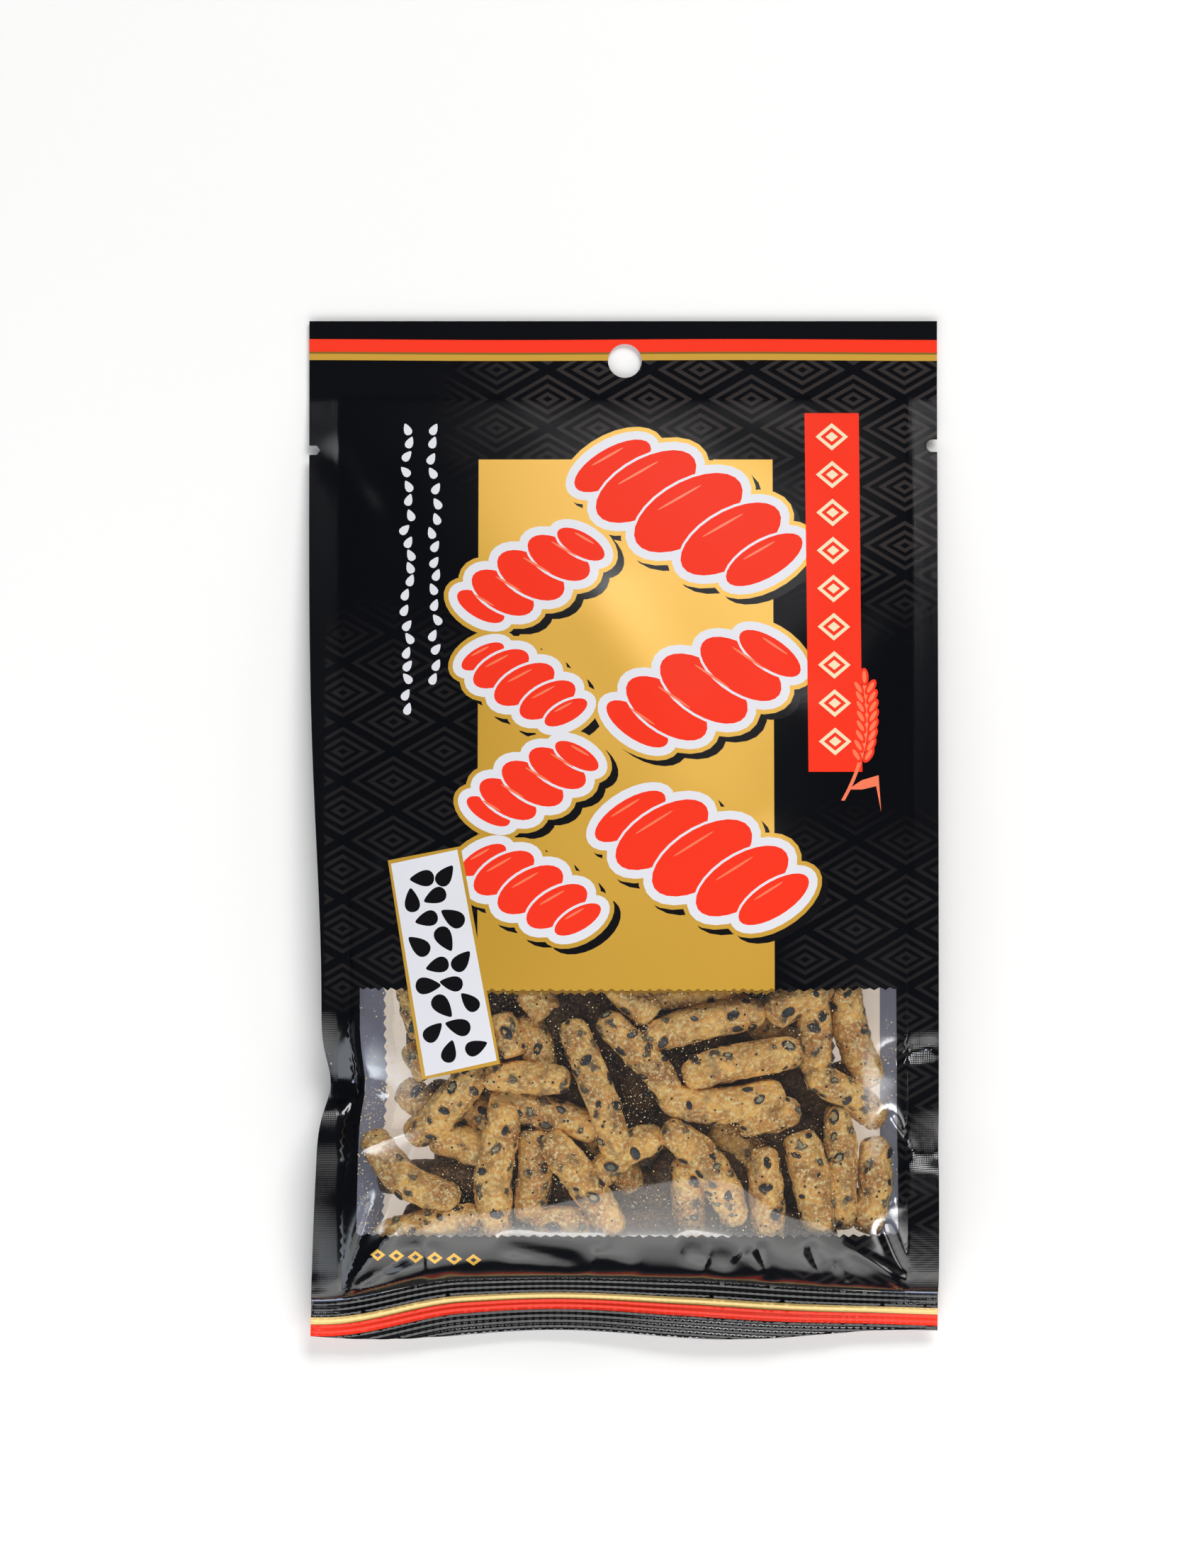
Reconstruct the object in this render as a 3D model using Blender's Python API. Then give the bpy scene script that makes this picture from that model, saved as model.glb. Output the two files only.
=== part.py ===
"""Sealed pillow pouch of karinto, lying on its back with the clear window up.

The printed pouch is one solid with a pocket behind its window. A thin clear pane closes the
pocket, and the sticks that show through it are one heap. Run it with
    blender --background --python part.py
Blender's unit is the metre, +Z is up and +Y points to the end with the hang hole. The sizes
below are in millimetres, and every vertex is written in metres by one function, put().
"""
import math

import bmesh
import bpy

MM = 0.001

# ---- the flat pouch
HALF_WIDTH = 75.0
HALF_LENGTH = 121.5
SEAL_THICKNESS = 0.7
SIDE_SEAL = 7.5
TOP_SEAL = 18.5
BOTTOM_SEAL = 14.0

# ---- the filled form
FILL_THICKNESS = 34.0
FILL_TOP_POWER = 1.15
FILL_BOTTOM_POWER = 0.45
CROWN_POWER = 2.4
CROWN_ROUNDNESS = 0.85
FRONT_SHARE = 0.56
BACK_SHARE = 0.50
TOP_SEAM_HEIGHT = 1.0
FULL_SEAM_RISE = 9.5
BOTTOM_SEAM_RISE = 4.0
BOTTOM_SEAM_START = -60.0
BOTTOM_SEAM_DROOP = 1.2

# ---- the outline's dents, the waves of the bottom seal and its ribs
LEFT_HOLLOW = 3.2
LEFT_HOLLOW_AT = -42.0
LEFT_HOLLOW_REACH = 55.0
PINCH = 2.4
PINCH_AT = -60.5
PINCH_REACH = 7.5
EDGE_FADE = 14.0
BOTTOM_WAVE = 1.1
BOTTOM_WAVE_AT = -16.0
BOTTOM_WAVE_LENGTH = 84.0
LEFT_SWEEP = 5.3
LEFT_SWEEP_START = -38.0
LEFT_SWEEP_REACH = 38.0
RIGHT_SWEEP = 4.2
RIGHT_SWEEP_START = 14.0
RIGHT_SWEEP_REACH = 60.0
SWEEP_FADE_START = -85.5
SWEEP_FADE_REACH = 20.0
SEAL_LIFT_WAVE = 1.0
RIB_COUNT = 9
RIB_PITCH = 1.35
RIB_HEIGHT = 0.3

# ---- openings
HANG_HOLE_DIAMETER = 8.1
HANG_HOLE_AT = (0.4, 112.0)
NOTCH_DEPTH = 2.6
LEFT_NOTCH_AT = 90.6
LEFT_NOTCH_WIDTH = 2.2
RIGHT_NOTCH_AT = 91.7
RIGHT_NOTCH_WIDTH = 3.0

# ---- the window and what lies behind it
WINDOW_LEFT = -63.2
WINDOW_RIGHT = 64.7
WINDOW_TOP = -37.4
WINDOW_BOTTOM = -97.2
PANE_THICKNESS = 0.4
BACK_WALL = 0.8
BACK_WALL_AT_SIDES = 2.4
GAP = 0.3
FLOOR_GAP = 0.6
CORE_DEPTH = 6.5
CORE_MARGIN = 4.0

STICK_SIDES = 8
STICK_RINGS = 7
END_BLUNTNESS = 0.36

# x, y of both ends, bend sideways, diameter and depth below the pane (all mm)
STICKS = (
    (-12.9, -44.5, -0.9, -77.6, 0.6, 7.8, 0.0),
    (-5.4, -43.8, 12.2, -63.3, 1.0, 7.6, 0.6),
    (-29.6, -43.2, -26.0, -53.5, 0.0, 7.4, 0.4),
    (-23.2, -36.0, -17.6, -43.6, 0.0, 8.4, 1.2),
    (-23.6, -43.8, -18.6, -58.0, 0.4, 8.0, 5.0),
    (-33.0, -58.6, -12.4, -59.4, 0.6, 7.4, 0.8),
    (-32.0, -63.8, -5.0, -71.6, 1.0, 8.0, 3.0),
    (-34.2, -55.4, -50.8, -73.6, 1.4, 8.6, 0.3),
    (-60.0, -71.4, -38.8, -87.2, -4.2, 8.2, 0.2),
    (-46.0, -72.6, -31.0, -77.0, 0.6, 8.2, 4.0),
    (-27.2, -63.8, -30.3, -98.5, -1.8, 8.8, 0.0),
    (-20.9, -70.5, -22.9, -93.4, 0.8, 8.0, 3.2),
    (-18.6, -72.0, -1.6, -96.2, 1.2, 8.4, 0.0),
    (-21.0, -92.4, -7.5, -92.8, 0.0, 7.2, 2.4),
    (-59.0, -97.4, -33.0, -91.6, 0.8, 7.6, 0.8),
    (-6.5, -83.6, 9.5, -72.6, 2.6, 7.8, 2.6),
    (-55.2, -60.6, -46.0, -66.6, 0.0, 7.6, 3.8),
    (-55.0, -34.6, -49.2, -50.0, 0.6, 8.0, 2.4),
    (-53.4, -50.4, -47.4, -58.6, 0.0, 7.4, 4.2),
    (-3.0, -35.6, 7.0, -44.8, 0.4, 8.2, 1.4),
    (5.0, -39.9, 27.0, -37.6, 0.8, 7.8, 5.0),
    (4.0, -49.8, 33.6, -43.2, 1.2, 8.2, 1.4),
    (13.6, -58.6, 42.6, -52.6, 1.0, 8.4, 0.0),
    (8.4, -62.6, 38.0, -61.4, -3.0, 8.4, 0.4),
    (34.0, -44.4, 49.0, -35.8, 0.6, 8.8, 0.6),
    (52.9, -34.8, 60.4, -60.4, -2.6, 8.2, 0.2),
    (45.3, -37.8, 45.5, -58.0, 0.0, 7.8, 1.8),
    (43.8, -57.6, 61.6, -69.4, 0.8, 7.8, 0.8),
    (27.0, -69.8, 42.0, -66.4, 0.4, 7.6, 2.2),
    (50.4, -64.8, 51.6, -95.0, 0.6, 7.6, 2.0),
    (40.8, -71.4, 46.9, -95.8, 0.8, 9.2, 0.0),
    (59.4, -72.8, 57.4, -96.0, 1.4, 8.0, 0.2),
    (33.0, -74.8, 34.7, -97.5, 0.0, 8.0, 0.8),
    (9.0, -69.8, 26.8, -94.0, 3.4, 8.2, 0.0),
    (15.2, -76.6, 16.0, -99.0, 0.0, 8.0, 2.8),
)


def smooth(value: float) -> float:
    """Return the smoothstep of a value, held between 0 and 1."""
    held = min(max(value, 0.0), 1.0)
    return held * held * (3.0 - 2.0 * held)


def bell(distance: float, reach: float) -> float:
    """Return a soft bump that is 1 at distance 0 and fades over the reach."""
    return math.exp(-(distance / reach) ** 2)


def fill_at(y: float) -> float:
    """Return how full the pouch is across a line, from 0 at the end seals to 1."""
    top = HALF_LENGTH - TOP_SEAL
    bottom = BOTTOM_SEAL - HALF_LENGTH
    along = (top - y) / (top - bottom)
    if along <= 0.0 or along >= 1.0:
        return 0.0
    peak = FILL_TOP_POWER / (FILL_TOP_POWER + FILL_BOTTOM_POWER)
    highest = peak ** FILL_TOP_POWER * (1.0 - peak) ** FILL_BOTTOM_POWER
    return along ** FILL_TOP_POWER * (1.0 - along) ** FILL_BOTTOM_POWER / highest


def crown_at(x: float) -> float:
    """Return the rounded cross-section, from 0 at the side seals to 1 in the middle."""
    across = abs(x) / (HALF_WIDTH - SIDE_SEAL)
    if across >= 1.0:
        return 0.0
    return (1.0 - across ** CROWN_POWER) ** CROWN_ROUNDNESS


def seam_at(x: float, y: float) -> float:
    """Return the height of the seams' plane, low at the top and arched over the filling."""
    bottom = BOTTOM_SEAL - HALF_LENGTH
    low_end = smooth((BOTTOM_SEAM_START - y) / (BOTTOM_SEAM_START - bottom))
    rise = FULL_SEAM_RISE * fill_at(y) ** 0.9 + BOTTOM_SEAM_RISE * low_end
    in_seal = smooth((bottom - y) / BOTTOM_SEAL)
    wave = SEAL_LIFT_WAVE * math.sin(x / HALF_WIDTH * 1.5 * math.pi) * in_seal
    return TOP_SEAM_HEIGHT + rise + wave - BOTTOM_SEAM_DROOP * in_seal


def level_at(x: float, y: float) -> float:
    """Return y as measured from the bottom seal, which sags towards both sides."""
    left = LEFT_SWEEP * smooth((LEFT_SWEEP_START - x) / LEFT_SWEEP_REACH)
    right = RIGHT_SWEEP * smooth((x - RIGHT_SWEEP_START) / RIGHT_SWEEP_REACH)
    return y + (left + right) * smooth((SWEEP_FADE_START - y) / SWEEP_FADE_REACH)


def rib_at(y: float) -> float:
    """Return the height of the pressed ribs that run along the bottom seal."""
    start = BOTTOM_SEAL - HALF_LENGTH
    along = (start - y) / RIB_PITCH
    if along < 0.0 or along > RIB_COUNT:
        return 0.0
    return RIB_HEIGHT * 0.5 * (1.0 - math.cos(2.0 * math.pi * along))


def front_at(x: float, y: float) -> float:
    """Return the height of the front film."""
    level = level_at(x, y)
    bulge = FRONT_SHARE * FILL_THICKNESS * fill_at(level) * crown_at(x)
    return seam_at(x, level) + 0.5 * SEAL_THICKNESS + bulge + rib_at(level)


def back_at(x: float, y: float) -> float:
    """Return the height of the back film, flat where the pouch lies on a table."""
    level = level_at(x, y)
    sag = BACK_SHARE * FILL_THICKNESS * fill_at(level) * crown_at(x)
    return max(0.0, seam_at(x, level) - 0.5 * SEAL_THICKNESS - sag)


def plan_at(x: float, y: float) -> tuple[float, float]:
    """Return where a point of the flat pouch lies in plan, with the outline's dents."""
    hollow = LEFT_HOLLOW * bell(y - LEFT_HOLLOW_AT, LEFT_HOLLOW_REACH)
    pinch = PINCH * bell(y - PINCH_AT, PINCH_REACH)
    near_left = bell(x + HALF_WIDTH, EDGE_FADE)
    turn = 2.0 * math.pi * (x - BOTTOM_WAVE_AT) / BOTTOM_WAVE_LENGTH
    wave = BOTTOM_WAVE * (1.0 + math.cos(turn))
    near_bottom = bell(y + HALF_LENGTH, EDGE_FADE)
    return x + (hollow + pinch) * near_left, y + wave * near_bottom


def put(vertex, x: float, y: float, z: float) -> None:
    """Write a vertex, given in millimetres, in metres."""
    vertex.co = (x * MM, y * MM, z * MM)


def stations(start: float, end: float, count: int) -> list[float]:
    """Return evenly spaced places from start to end, both included."""
    return [start + (end - start) * step / count for step in range(count + 1)]


def make_object(name: str, graph: bmesh.types.BMesh) -> bpy.types.Object:
    """Turn a bmesh into an object of the scene."""
    bmesh.ops.recalc_face_normals(graph, faces=graph.faces[:])
    mesh = bpy.data.meshes.new(name)
    graph.to_mesh(mesh)
    graph.free()
    part = bpy.data.objects.new(name, mesh)
    bpy.context.scene.collection.objects.link(part)
    return part


def make_slab(name: str, columns: list[float], rows: list[float], top, bottom) -> bpy.types.Object:
    """Make a closed slab between two height functions over a grid of the flat pouch."""
    graph = bmesh.new()
    for height in (top, bottom):
        grid = bmesh.ops.create_grid(
            graph, x_segments=len(columns) - 1, y_segments=len(rows) - 1, size=1.0
        )
        for vertex in grid["verts"]:
            column = round((vertex.co.x + 1.0) / 2.0 * (len(columns) - 1))
            row = round((vertex.co.y + 1.0) / 2.0 * (len(rows) - 1))
            x, y = columns[column], rows[row]
            put(vertex, *plan_at(x, y), height(x, y))
    rims = [edge for edge in graph.edges if edge.is_boundary]
    bmesh.ops.bridge_loops(graph, edges=rims)
    return make_object(name, graph)


def make_finish(name: str, color: tuple, roughness: float, alpha: float = 1.0) -> bpy.types.Material:
    """Make a plain Principled material."""
    material = bpy.data.materials.new(name)
    material.use_nodes = True
    shader = material.node_tree.nodes["Principled BSDF"]
    shader.inputs["Base Color"].default_value = (*color, 1.0)
    shader.inputs["Roughness"].default_value = roughness
    shader.inputs["Metallic"].default_value = 0.0
    shader.inputs["Alpha"].default_value = alpha
    return material


def apply_boolean(part: bpy.types.Object, operation: str, cutter=None, group=None) -> None:
    """Run one Boolean on a part, write the result to its mesh and remove what it used."""
    step = part.modifiers.new(operation, "BOOLEAN")
    step.operation = operation
    step.solver = "EXACT"
    if group is not None:
        step.operand_type = "COLLECTION"
        step.collection = group
    else:
        step.object = cutter
    depsgraph = bpy.context.evaluated_depsgraph_get()
    result = bpy.data.meshes.new_from_object(part.evaluated_get(depsgraph))
    part.modifiers.remove(step)
    part.data = result
    used = list(group.objects) if group is not None else [cutter]
    for helper in used:
        bpy.data.objects.remove(helper)
    if group is not None:
        bpy.data.collections.remove(group)


def keep_largest_body(part: bpy.types.Object) -> None:
    """Drop the loose scraps that a Boolean leaves beside the main body."""
    graph = bmesh.new()
    graph.from_mesh(part.data)
    waiting = set(graph.verts)
    bodies = []
    while waiting:
        front = [waiting.pop()]
        body = list(front)
        while front:
            vertex = front.pop()
            for edge in vertex.link_edges:
                other = edge.other_vert(vertex)
                if other in waiting:
                    waiting.remove(other)
                    front.append(other)
                    body.append(other)
        bodies.append(body)
    bodies.sort(key=len)
    scraps = [vertex for body in bodies[:-1] for vertex in body]
    bmesh.ops.delete(graph, geom=scraps, context="VERTS")
    graph.to_mesh(part.data)
    graph.free()


def make_prism(name: str, outline: list[tuple[float, float]], top: float) -> bpy.types.Object:
    """Make an upright prism over a flat outline, from below the table to a height."""
    curve = bpy.data.curves.new(name, "CURVE")
    curve.dimensions = "2D"
    curve.fill_mode = "BOTH"
    curve.extrude = 0.5 * (top + 5.0) * MM
    spline = curve.splines.new("POLY")
    spline.points.add(len(outline) - 1)
    spline.use_cyclic_u = True
    for point, (x, y) in zip(spline.points, outline):
        point.co = (x * MM, y * MM, 0.0, 1.0)
    source = bpy.data.objects.new(name, curve)
    bpy.context.scene.collection.objects.link(source)
    depsgraph = bpy.context.evaluated_depsgraph_get()
    mesh = bpy.data.meshes.new_from_object(source.evaluated_get(depsgraph))
    bpy.data.objects.remove(source)
    graph = bmesh.new()
    graph.from_mesh(mesh)
    bmesh.ops.remove_doubles(graph, verts=graph.verts[:], dist=1e-6)
    for vertex in graph.verts:
        vertex.co.z += 0.5 * (top - 5.0) * MM
    return make_object(name, graph)


def hang_hole_outline() -> list[tuple[float, float]]:
    """Return the round hang hole as a polygon."""
    radius = 0.5 * HANG_HOLE_DIAMETER
    turns = [2.0 * math.pi * step / 28 for step in range(28)]
    x, y = HANG_HOLE_AT
    return [(x + radius * math.cos(turn), y + radius * math.sin(turn)) for turn in turns]


def left_notch_outline() -> list[tuple[float, float]]:
    """Return the left tear notch, straight with a point."""
    edge, half = -HALF_WIDTH, 0.5 * LEFT_NOTCH_WIDTH
    shoulder = edge + NOTCH_DEPTH - 0.8
    return [
        (edge - 3.0, LEFT_NOTCH_AT - half),
        (shoulder, LEFT_NOTCH_AT - half),
        (edge + NOTCH_DEPTH, LEFT_NOTCH_AT),
        (shoulder, LEFT_NOTCH_AT + half),
        (edge - 3.0, LEFT_NOTCH_AT + half),
    ]


def right_notch_outline() -> list[tuple[float, float]]:
    """Return the right tear notch, with a round end."""
    half = 0.5 * RIGHT_NOTCH_WIDTH
    middle = HALF_WIDTH - NOTCH_DEPTH + half
    arc = [math.pi * (0.5 + step / 8) for step in range(9)]
    bend = [(middle + half * math.cos(turn), RIGHT_NOTCH_AT + half * math.sin(turn)) for turn in arc]
    far = HALF_WIDTH + 3.0
    return [(far, RIGHT_NOTCH_AT + half), *bend, (far, RIGHT_NOTCH_AT - half)]


def pocket_floor_at(x: float, y: float) -> float:
    """Return the inner face of the back film, where the wall thickens towards the sides."""
    across = abs(x) / (HALF_WIDTH - SIDE_SEAL)
    return back_at(x, y) + BACK_WALL + BACK_WALL_AT_SIDES * across ** 10


def inside_window(inset: float, across: int, down: int) -> tuple[list[float], list[float]]:
    """Return the grid columns and rows of the window, drawn in by an inset."""
    columns = stations(WINDOW_LEFT + inset, WINDOW_RIGHT - inset, across)
    rows = stations(WINDOW_BOTTOM + inset, WINDOW_TOP - inset, down)
    return columns, rows


def make_pouch() -> bpy.types.Object:
    """Make the printed pouch with its pocket, hang hole and tear notches."""
    inner = HALF_WIDTH - SIDE_SEAL
    columns = [-HALF_WIDTH, *stations(-inner, inner, 26), HALF_WIDTH]
    seal_start = BOTTOM_SEAL - HALF_LENGTH
    ribs = stations(seal_start - RIB_COUNT * RIB_PITCH, seal_start, 2 * RIB_COUNT)
    filled = stations(seal_start, HALF_LENGTH - TOP_SEAL, 36)
    rows = [-HALF_LENGTH, *ribs, *filled[1:], HALF_LENGTH]
    pouch = make_slab("pouch", columns, rows, front_at, back_at)

    pocket = make_slab(
        "pocket_cutter",
        *inside_window(0.0, 26, 14),
        lambda x, y: front_at(x, y) + 4.0,
        pocket_floor_at,
    )
    apply_boolean(pouch, "DIFFERENCE", cutter=pocket)
    top = FILL_THICKNESS
    apply_boolean(pouch, "DIFFERENCE", cutter=make_prism("hole_cutter", hang_hole_outline(), top))
    apply_boolean(pouch, "DIFFERENCE", cutter=make_prism("left_cutter", left_notch_outline(), top))
    apply_boolean(pouch, "DIFFERENCE", cutter=make_prism("right_cutter", right_notch_outline(), top))
    pouch.data.materials.clear()
    pouch.data.materials.append(make_finish("printed_film", (0.012, 0.012, 0.016), 0.28))
    return pouch


def make_window() -> bpy.types.Object:
    """Make the clear pane that closes the pocket."""
    window = make_slab(
        "window",
        *inside_window(GAP, 22, 12),
        front_at,
        lambda x, y: front_at(x, y) - PANE_THICKNESS,
    )
    window.data.materials.append(make_finish("clear_film", (0.92, 0.93, 0.95), 0.08, alpha=0.35))
    return window


def make_stick(name: str, stick: tuple) -> bpy.types.Object:
    """Make one blunt, slightly bent stick just under the pane."""
    x0, y0, x1, y1, bend, diameter, depth = stick
    graph = bmesh.new()
    bmesh.ops.create_uvsphere(
        graph, u_segments=STICK_SIDES, v_segments=STICK_RINGS, radius=1.0
    )
    length = math.hypot(x1 - x0, y1 - y0)
    along_x, along_y = (x1 - x0) / length, (y1 - y0) / length
    radius = 0.5 * diameter
    drop = PANE_THICKNESS + 2.0 * GAP + radius + depth
    for vertex in graph.verts:
        station = vertex.co.z
        ring = math.hypot(vertex.co.x, vertex.co.y)
        swell = radius * ring ** END_BLUNTNESS if ring > 1e-6 else 0.0
        sideways = vertex.co.x / max(ring, 1e-6) * swell + bend * (1.0 - station * station)
        upward = vertex.co.y / max(ring, 1e-6) * swell
        middle_x = 0.5 * (x0 + x1) + 0.5 * length * station * along_x
        middle_y = 0.5 * (y0 + y1) + 0.5 * length * station * along_y
        height = front_at(middle_x, middle_y) - drop
        put(vertex, middle_x - along_y * sideways, middle_y + along_x * sideways, height + upward)
    return make_object(name, graph)


def make_karinto() -> bpy.types.Object:
    """Make the heap: a core with every stick that shows fused on, cut to its pocket."""
    margin = GAP + CORE_MARGIN
    under_pane = PANE_THICKNESS + GAP

    def core_top(x: float, y: float) -> float:
        floor = pocket_floor_at(x, y) + FLOOR_GAP
        return max(front_at(x, y) - CORE_DEPTH, floor + 1.0)

    heap = make_slab(
        "karinto",
        *inside_window(margin, 20, 9),
        core_top,
        lambda x, y: pocket_floor_at(x, y) + FLOOR_GAP,
    )
    group = bpy.data.collections.new("sticks")
    bpy.context.scene.collection.children.link(group)
    for number, stick in enumerate(STICKS):
        piece = make_stick(f"stick_{number}", stick)
        bpy.context.scene.collection.objects.unlink(piece)
        group.objects.link(piece)
    apply_boolean(heap, "UNION", group=group)
    room = make_slab(
        "room_cutter",
        *inside_window(2.0 * GAP, 26, 14),
        lambda x, y: front_at(x, y) - under_pane,
        lambda x, y: pocket_floor_at(x, y) + GAP,
    )
    apply_boolean(heap, "INTERSECT", cutter=room)
    keep_largest_body(heap)
    heap.data.materials.clear()
    heap.data.materials.append(make_finish("fried_dough", (0.46, 0.26, 0.09), 0.75))
    return heap


def main() -> None:
    """Clear the scene and build the three pieces in their own collection."""
    for old in list(bpy.data.objects):
        bpy.data.objects.remove(old)
    home = bpy.data.collections.new("karinto_pouch")
    bpy.context.scene.collection.children.link(home)
    for piece in (make_pouch(), make_window(), make_karinto()):
        bpy.context.scene.collection.objects.unlink(piece)
        home.objects.link(piece)


if __name__ == "__main__":
    main()
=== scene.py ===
"""Dresses the sealed pouch of karinto: printed film, clear window, sticks, sesame and crumbs.

The pouch lies on its back with the window up. Lengths in the classes below are millimetres on
the flat pouch: x to the right, y towards the hang hole and z up from the table.
"""
from __future__ import annotations

import logging
import math
import random
from dataclasses import dataclass, field
from enum import Enum
from typing import Callable

import bpy
import numpy as np
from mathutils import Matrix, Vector
from mathutils.geometry import delaunay_2d_cdt

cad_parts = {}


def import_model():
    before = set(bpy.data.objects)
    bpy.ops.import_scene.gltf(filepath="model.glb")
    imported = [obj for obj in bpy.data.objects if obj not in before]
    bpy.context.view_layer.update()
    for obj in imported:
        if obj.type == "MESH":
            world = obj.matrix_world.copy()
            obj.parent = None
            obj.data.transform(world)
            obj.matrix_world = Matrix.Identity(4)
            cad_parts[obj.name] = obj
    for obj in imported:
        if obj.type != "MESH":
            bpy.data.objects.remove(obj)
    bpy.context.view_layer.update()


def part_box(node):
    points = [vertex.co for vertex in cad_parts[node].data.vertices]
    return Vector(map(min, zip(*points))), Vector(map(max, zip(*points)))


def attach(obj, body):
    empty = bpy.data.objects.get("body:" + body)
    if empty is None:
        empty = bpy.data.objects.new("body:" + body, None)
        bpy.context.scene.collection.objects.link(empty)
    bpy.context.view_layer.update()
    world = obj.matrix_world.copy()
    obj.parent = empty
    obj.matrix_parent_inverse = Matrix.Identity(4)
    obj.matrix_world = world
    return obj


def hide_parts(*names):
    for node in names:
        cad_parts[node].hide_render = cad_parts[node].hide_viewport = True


logging.basicConfig(level=logging.INFO, format="%(message)s")
LOG = logging.getLogger("karinto")

MM = 0.001
Array = np.ndarray
Color = tuple[int, int, int]
Outline = list[tuple[float, float]]
Material = bpy.types.Material
Piece = bpy.types.Object
Socket = bpy.types.NodeSocket
Tree = bpy.types.NodeTree


# ------------------------------------------------------------------ small shared helpers

def smooth(value: Array | float) -> Array | float:
    """Return the smoothstep of a value, held between 0 and 1."""
    held = np.clip(value, 0.0, 1.0)
    return held * held * (3.0 - 2.0 * held)


def bell(distance: Array | float, reach: float) -> Array | float:
    """Return a soft bump that is 1 at distance 0 and fades over the reach."""
    return np.exp(-(np.asarray(distance) / reach) ** 2)


def linear(red: int, green: int, blue: int) -> tuple[float, float, float, float]:
    """Return the scene-linear colour of an 8-bit display colour.

    Args:
        red: red, 0 to 255.
        green: green, 0 to 255.
        blue: blue, 0 to 255.

    Returns:
        The colour with an alpha of 1.
    """
    shares = [channel / 255.0 for channel in (red, green, blue)]
    bent = [c / 12.92 if c <= 0.04045 else ((c + 0.055) / 1.055) ** 2.4 for c in shares]
    return bent[0], bent[1], bent[2], 1.0


def turned(local: Outline, x: float, y: float, turn: float) -> Outline:
    """Return points turned by an angle in degrees and moved to a place."""
    cos, sin = math.cos(math.radians(turn)), math.sin(math.radians(turn))
    return [(x + along * cos - across * sin, y + along * sin + across * cos)
            for along, across in local]


def ellipse(x: float, y: float, a: float, b: float, turn: float, points: int = 26) -> Outline:
    """Return an ellipse.

    Args:
        x: centre along x.
        y: centre along y.
        a: half length.
        b: half width.
        turn: angle of the length from x, in degrees.
        points: corners of the polygon.

    Returns:
        The closed outline.
    """
    angles = [2.0 * math.pi * step / points for step in range(points)]
    return turned([(a * math.cos(angle), b * math.sin(angle)) for angle in angles], x, y, turn)


def drop(x: float, y: float, length: float, turn: float, points: int = 22) -> Outline:
    """Return a seed with one pointed end.

    Args:
        x: centre along x.
        y: centre along y.
        length: full length.
        turn: angle of the point from x, in degrees.
        points: corners of the polygon.

    Returns:
        The closed outline.
    """
    breadth, taper, roundness = 0.30, 0.62, 0.8
    local = []
    for step in range(points):
        angle = 2.0 * math.pi * step / points
        across = breadth * length * math.sin(angle) * (1.0 - taper * math.cos(angle)) ** roundness
        local.append((0.5 * length * math.cos(angle), across))
    return turned(local, x, y, turn)


def lozenge(x: float, y: float, a: float, b: float) -> Outline:
    """Return a lozenge with half width a and half height b."""
    return [(x + a, y), (x, y + b), (x - a, y), (x, y - b)]


# ------------------------------------------------------------------ the form of the pouch

class FoldKind(Enum):
    """How a fold stands out of the film."""

    RIDGE = "ridge"
    STEP = "step"
    FLAP = "flap"


@dataclass(frozen=True)
class Fold:
    """A crease of the film along a straight run.

    A flap bends down on the left of its run, and its sharpness is the share of the run over
    which it opens.
    """

    x0: float
    y0: float
    x1: float
    y1: float
    width: float
    height: float
    sharpness: float = 1.3
    kind: FoldKind = FoldKind.RIDGE

    def lift(self, x: Array, y: Array) -> Array:
        """Return how far the fold lifts each point of the film.

        Args:
            x: places across the flat pouch.
            y: places along the flat pouch.

        Returns:
            The lift, in millimetres.
        """
        length = math.hypot(self.x1 - self.x0, self.y1 - self.y0)
        along_x, along_y = (self.x1 - self.x0) / length, (self.y1 - self.y0) / length
        along = ((x - self.x0) * along_x + (y - self.y0) * along_y) / length
        away = (x - self.x0) * -along_y + (y - self.y0) * along_x
        fade, held = 0.3, 0.25
        ends = smooth(along / fade + held) * smooth((1.0 - along) / fade + held)
        near = np.abs(away) / self.width
        if self.kind is FoldKind.FLAP:
            ends = smooth(along / self.sharpness) * smooth((1.0 - along) / (1.0 - self.sharpness))
            profile = np.clip(away / self.width, 0.0, 1.0)
        elif self.kind is FoldKind.STEP:
            profile = np.tanh(away / self.width) * np.exp(-(near / 4.0) ** 2)
        else:
            profile = np.exp(-near ** self.sharpness)
        return self.height * ends * profile


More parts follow.
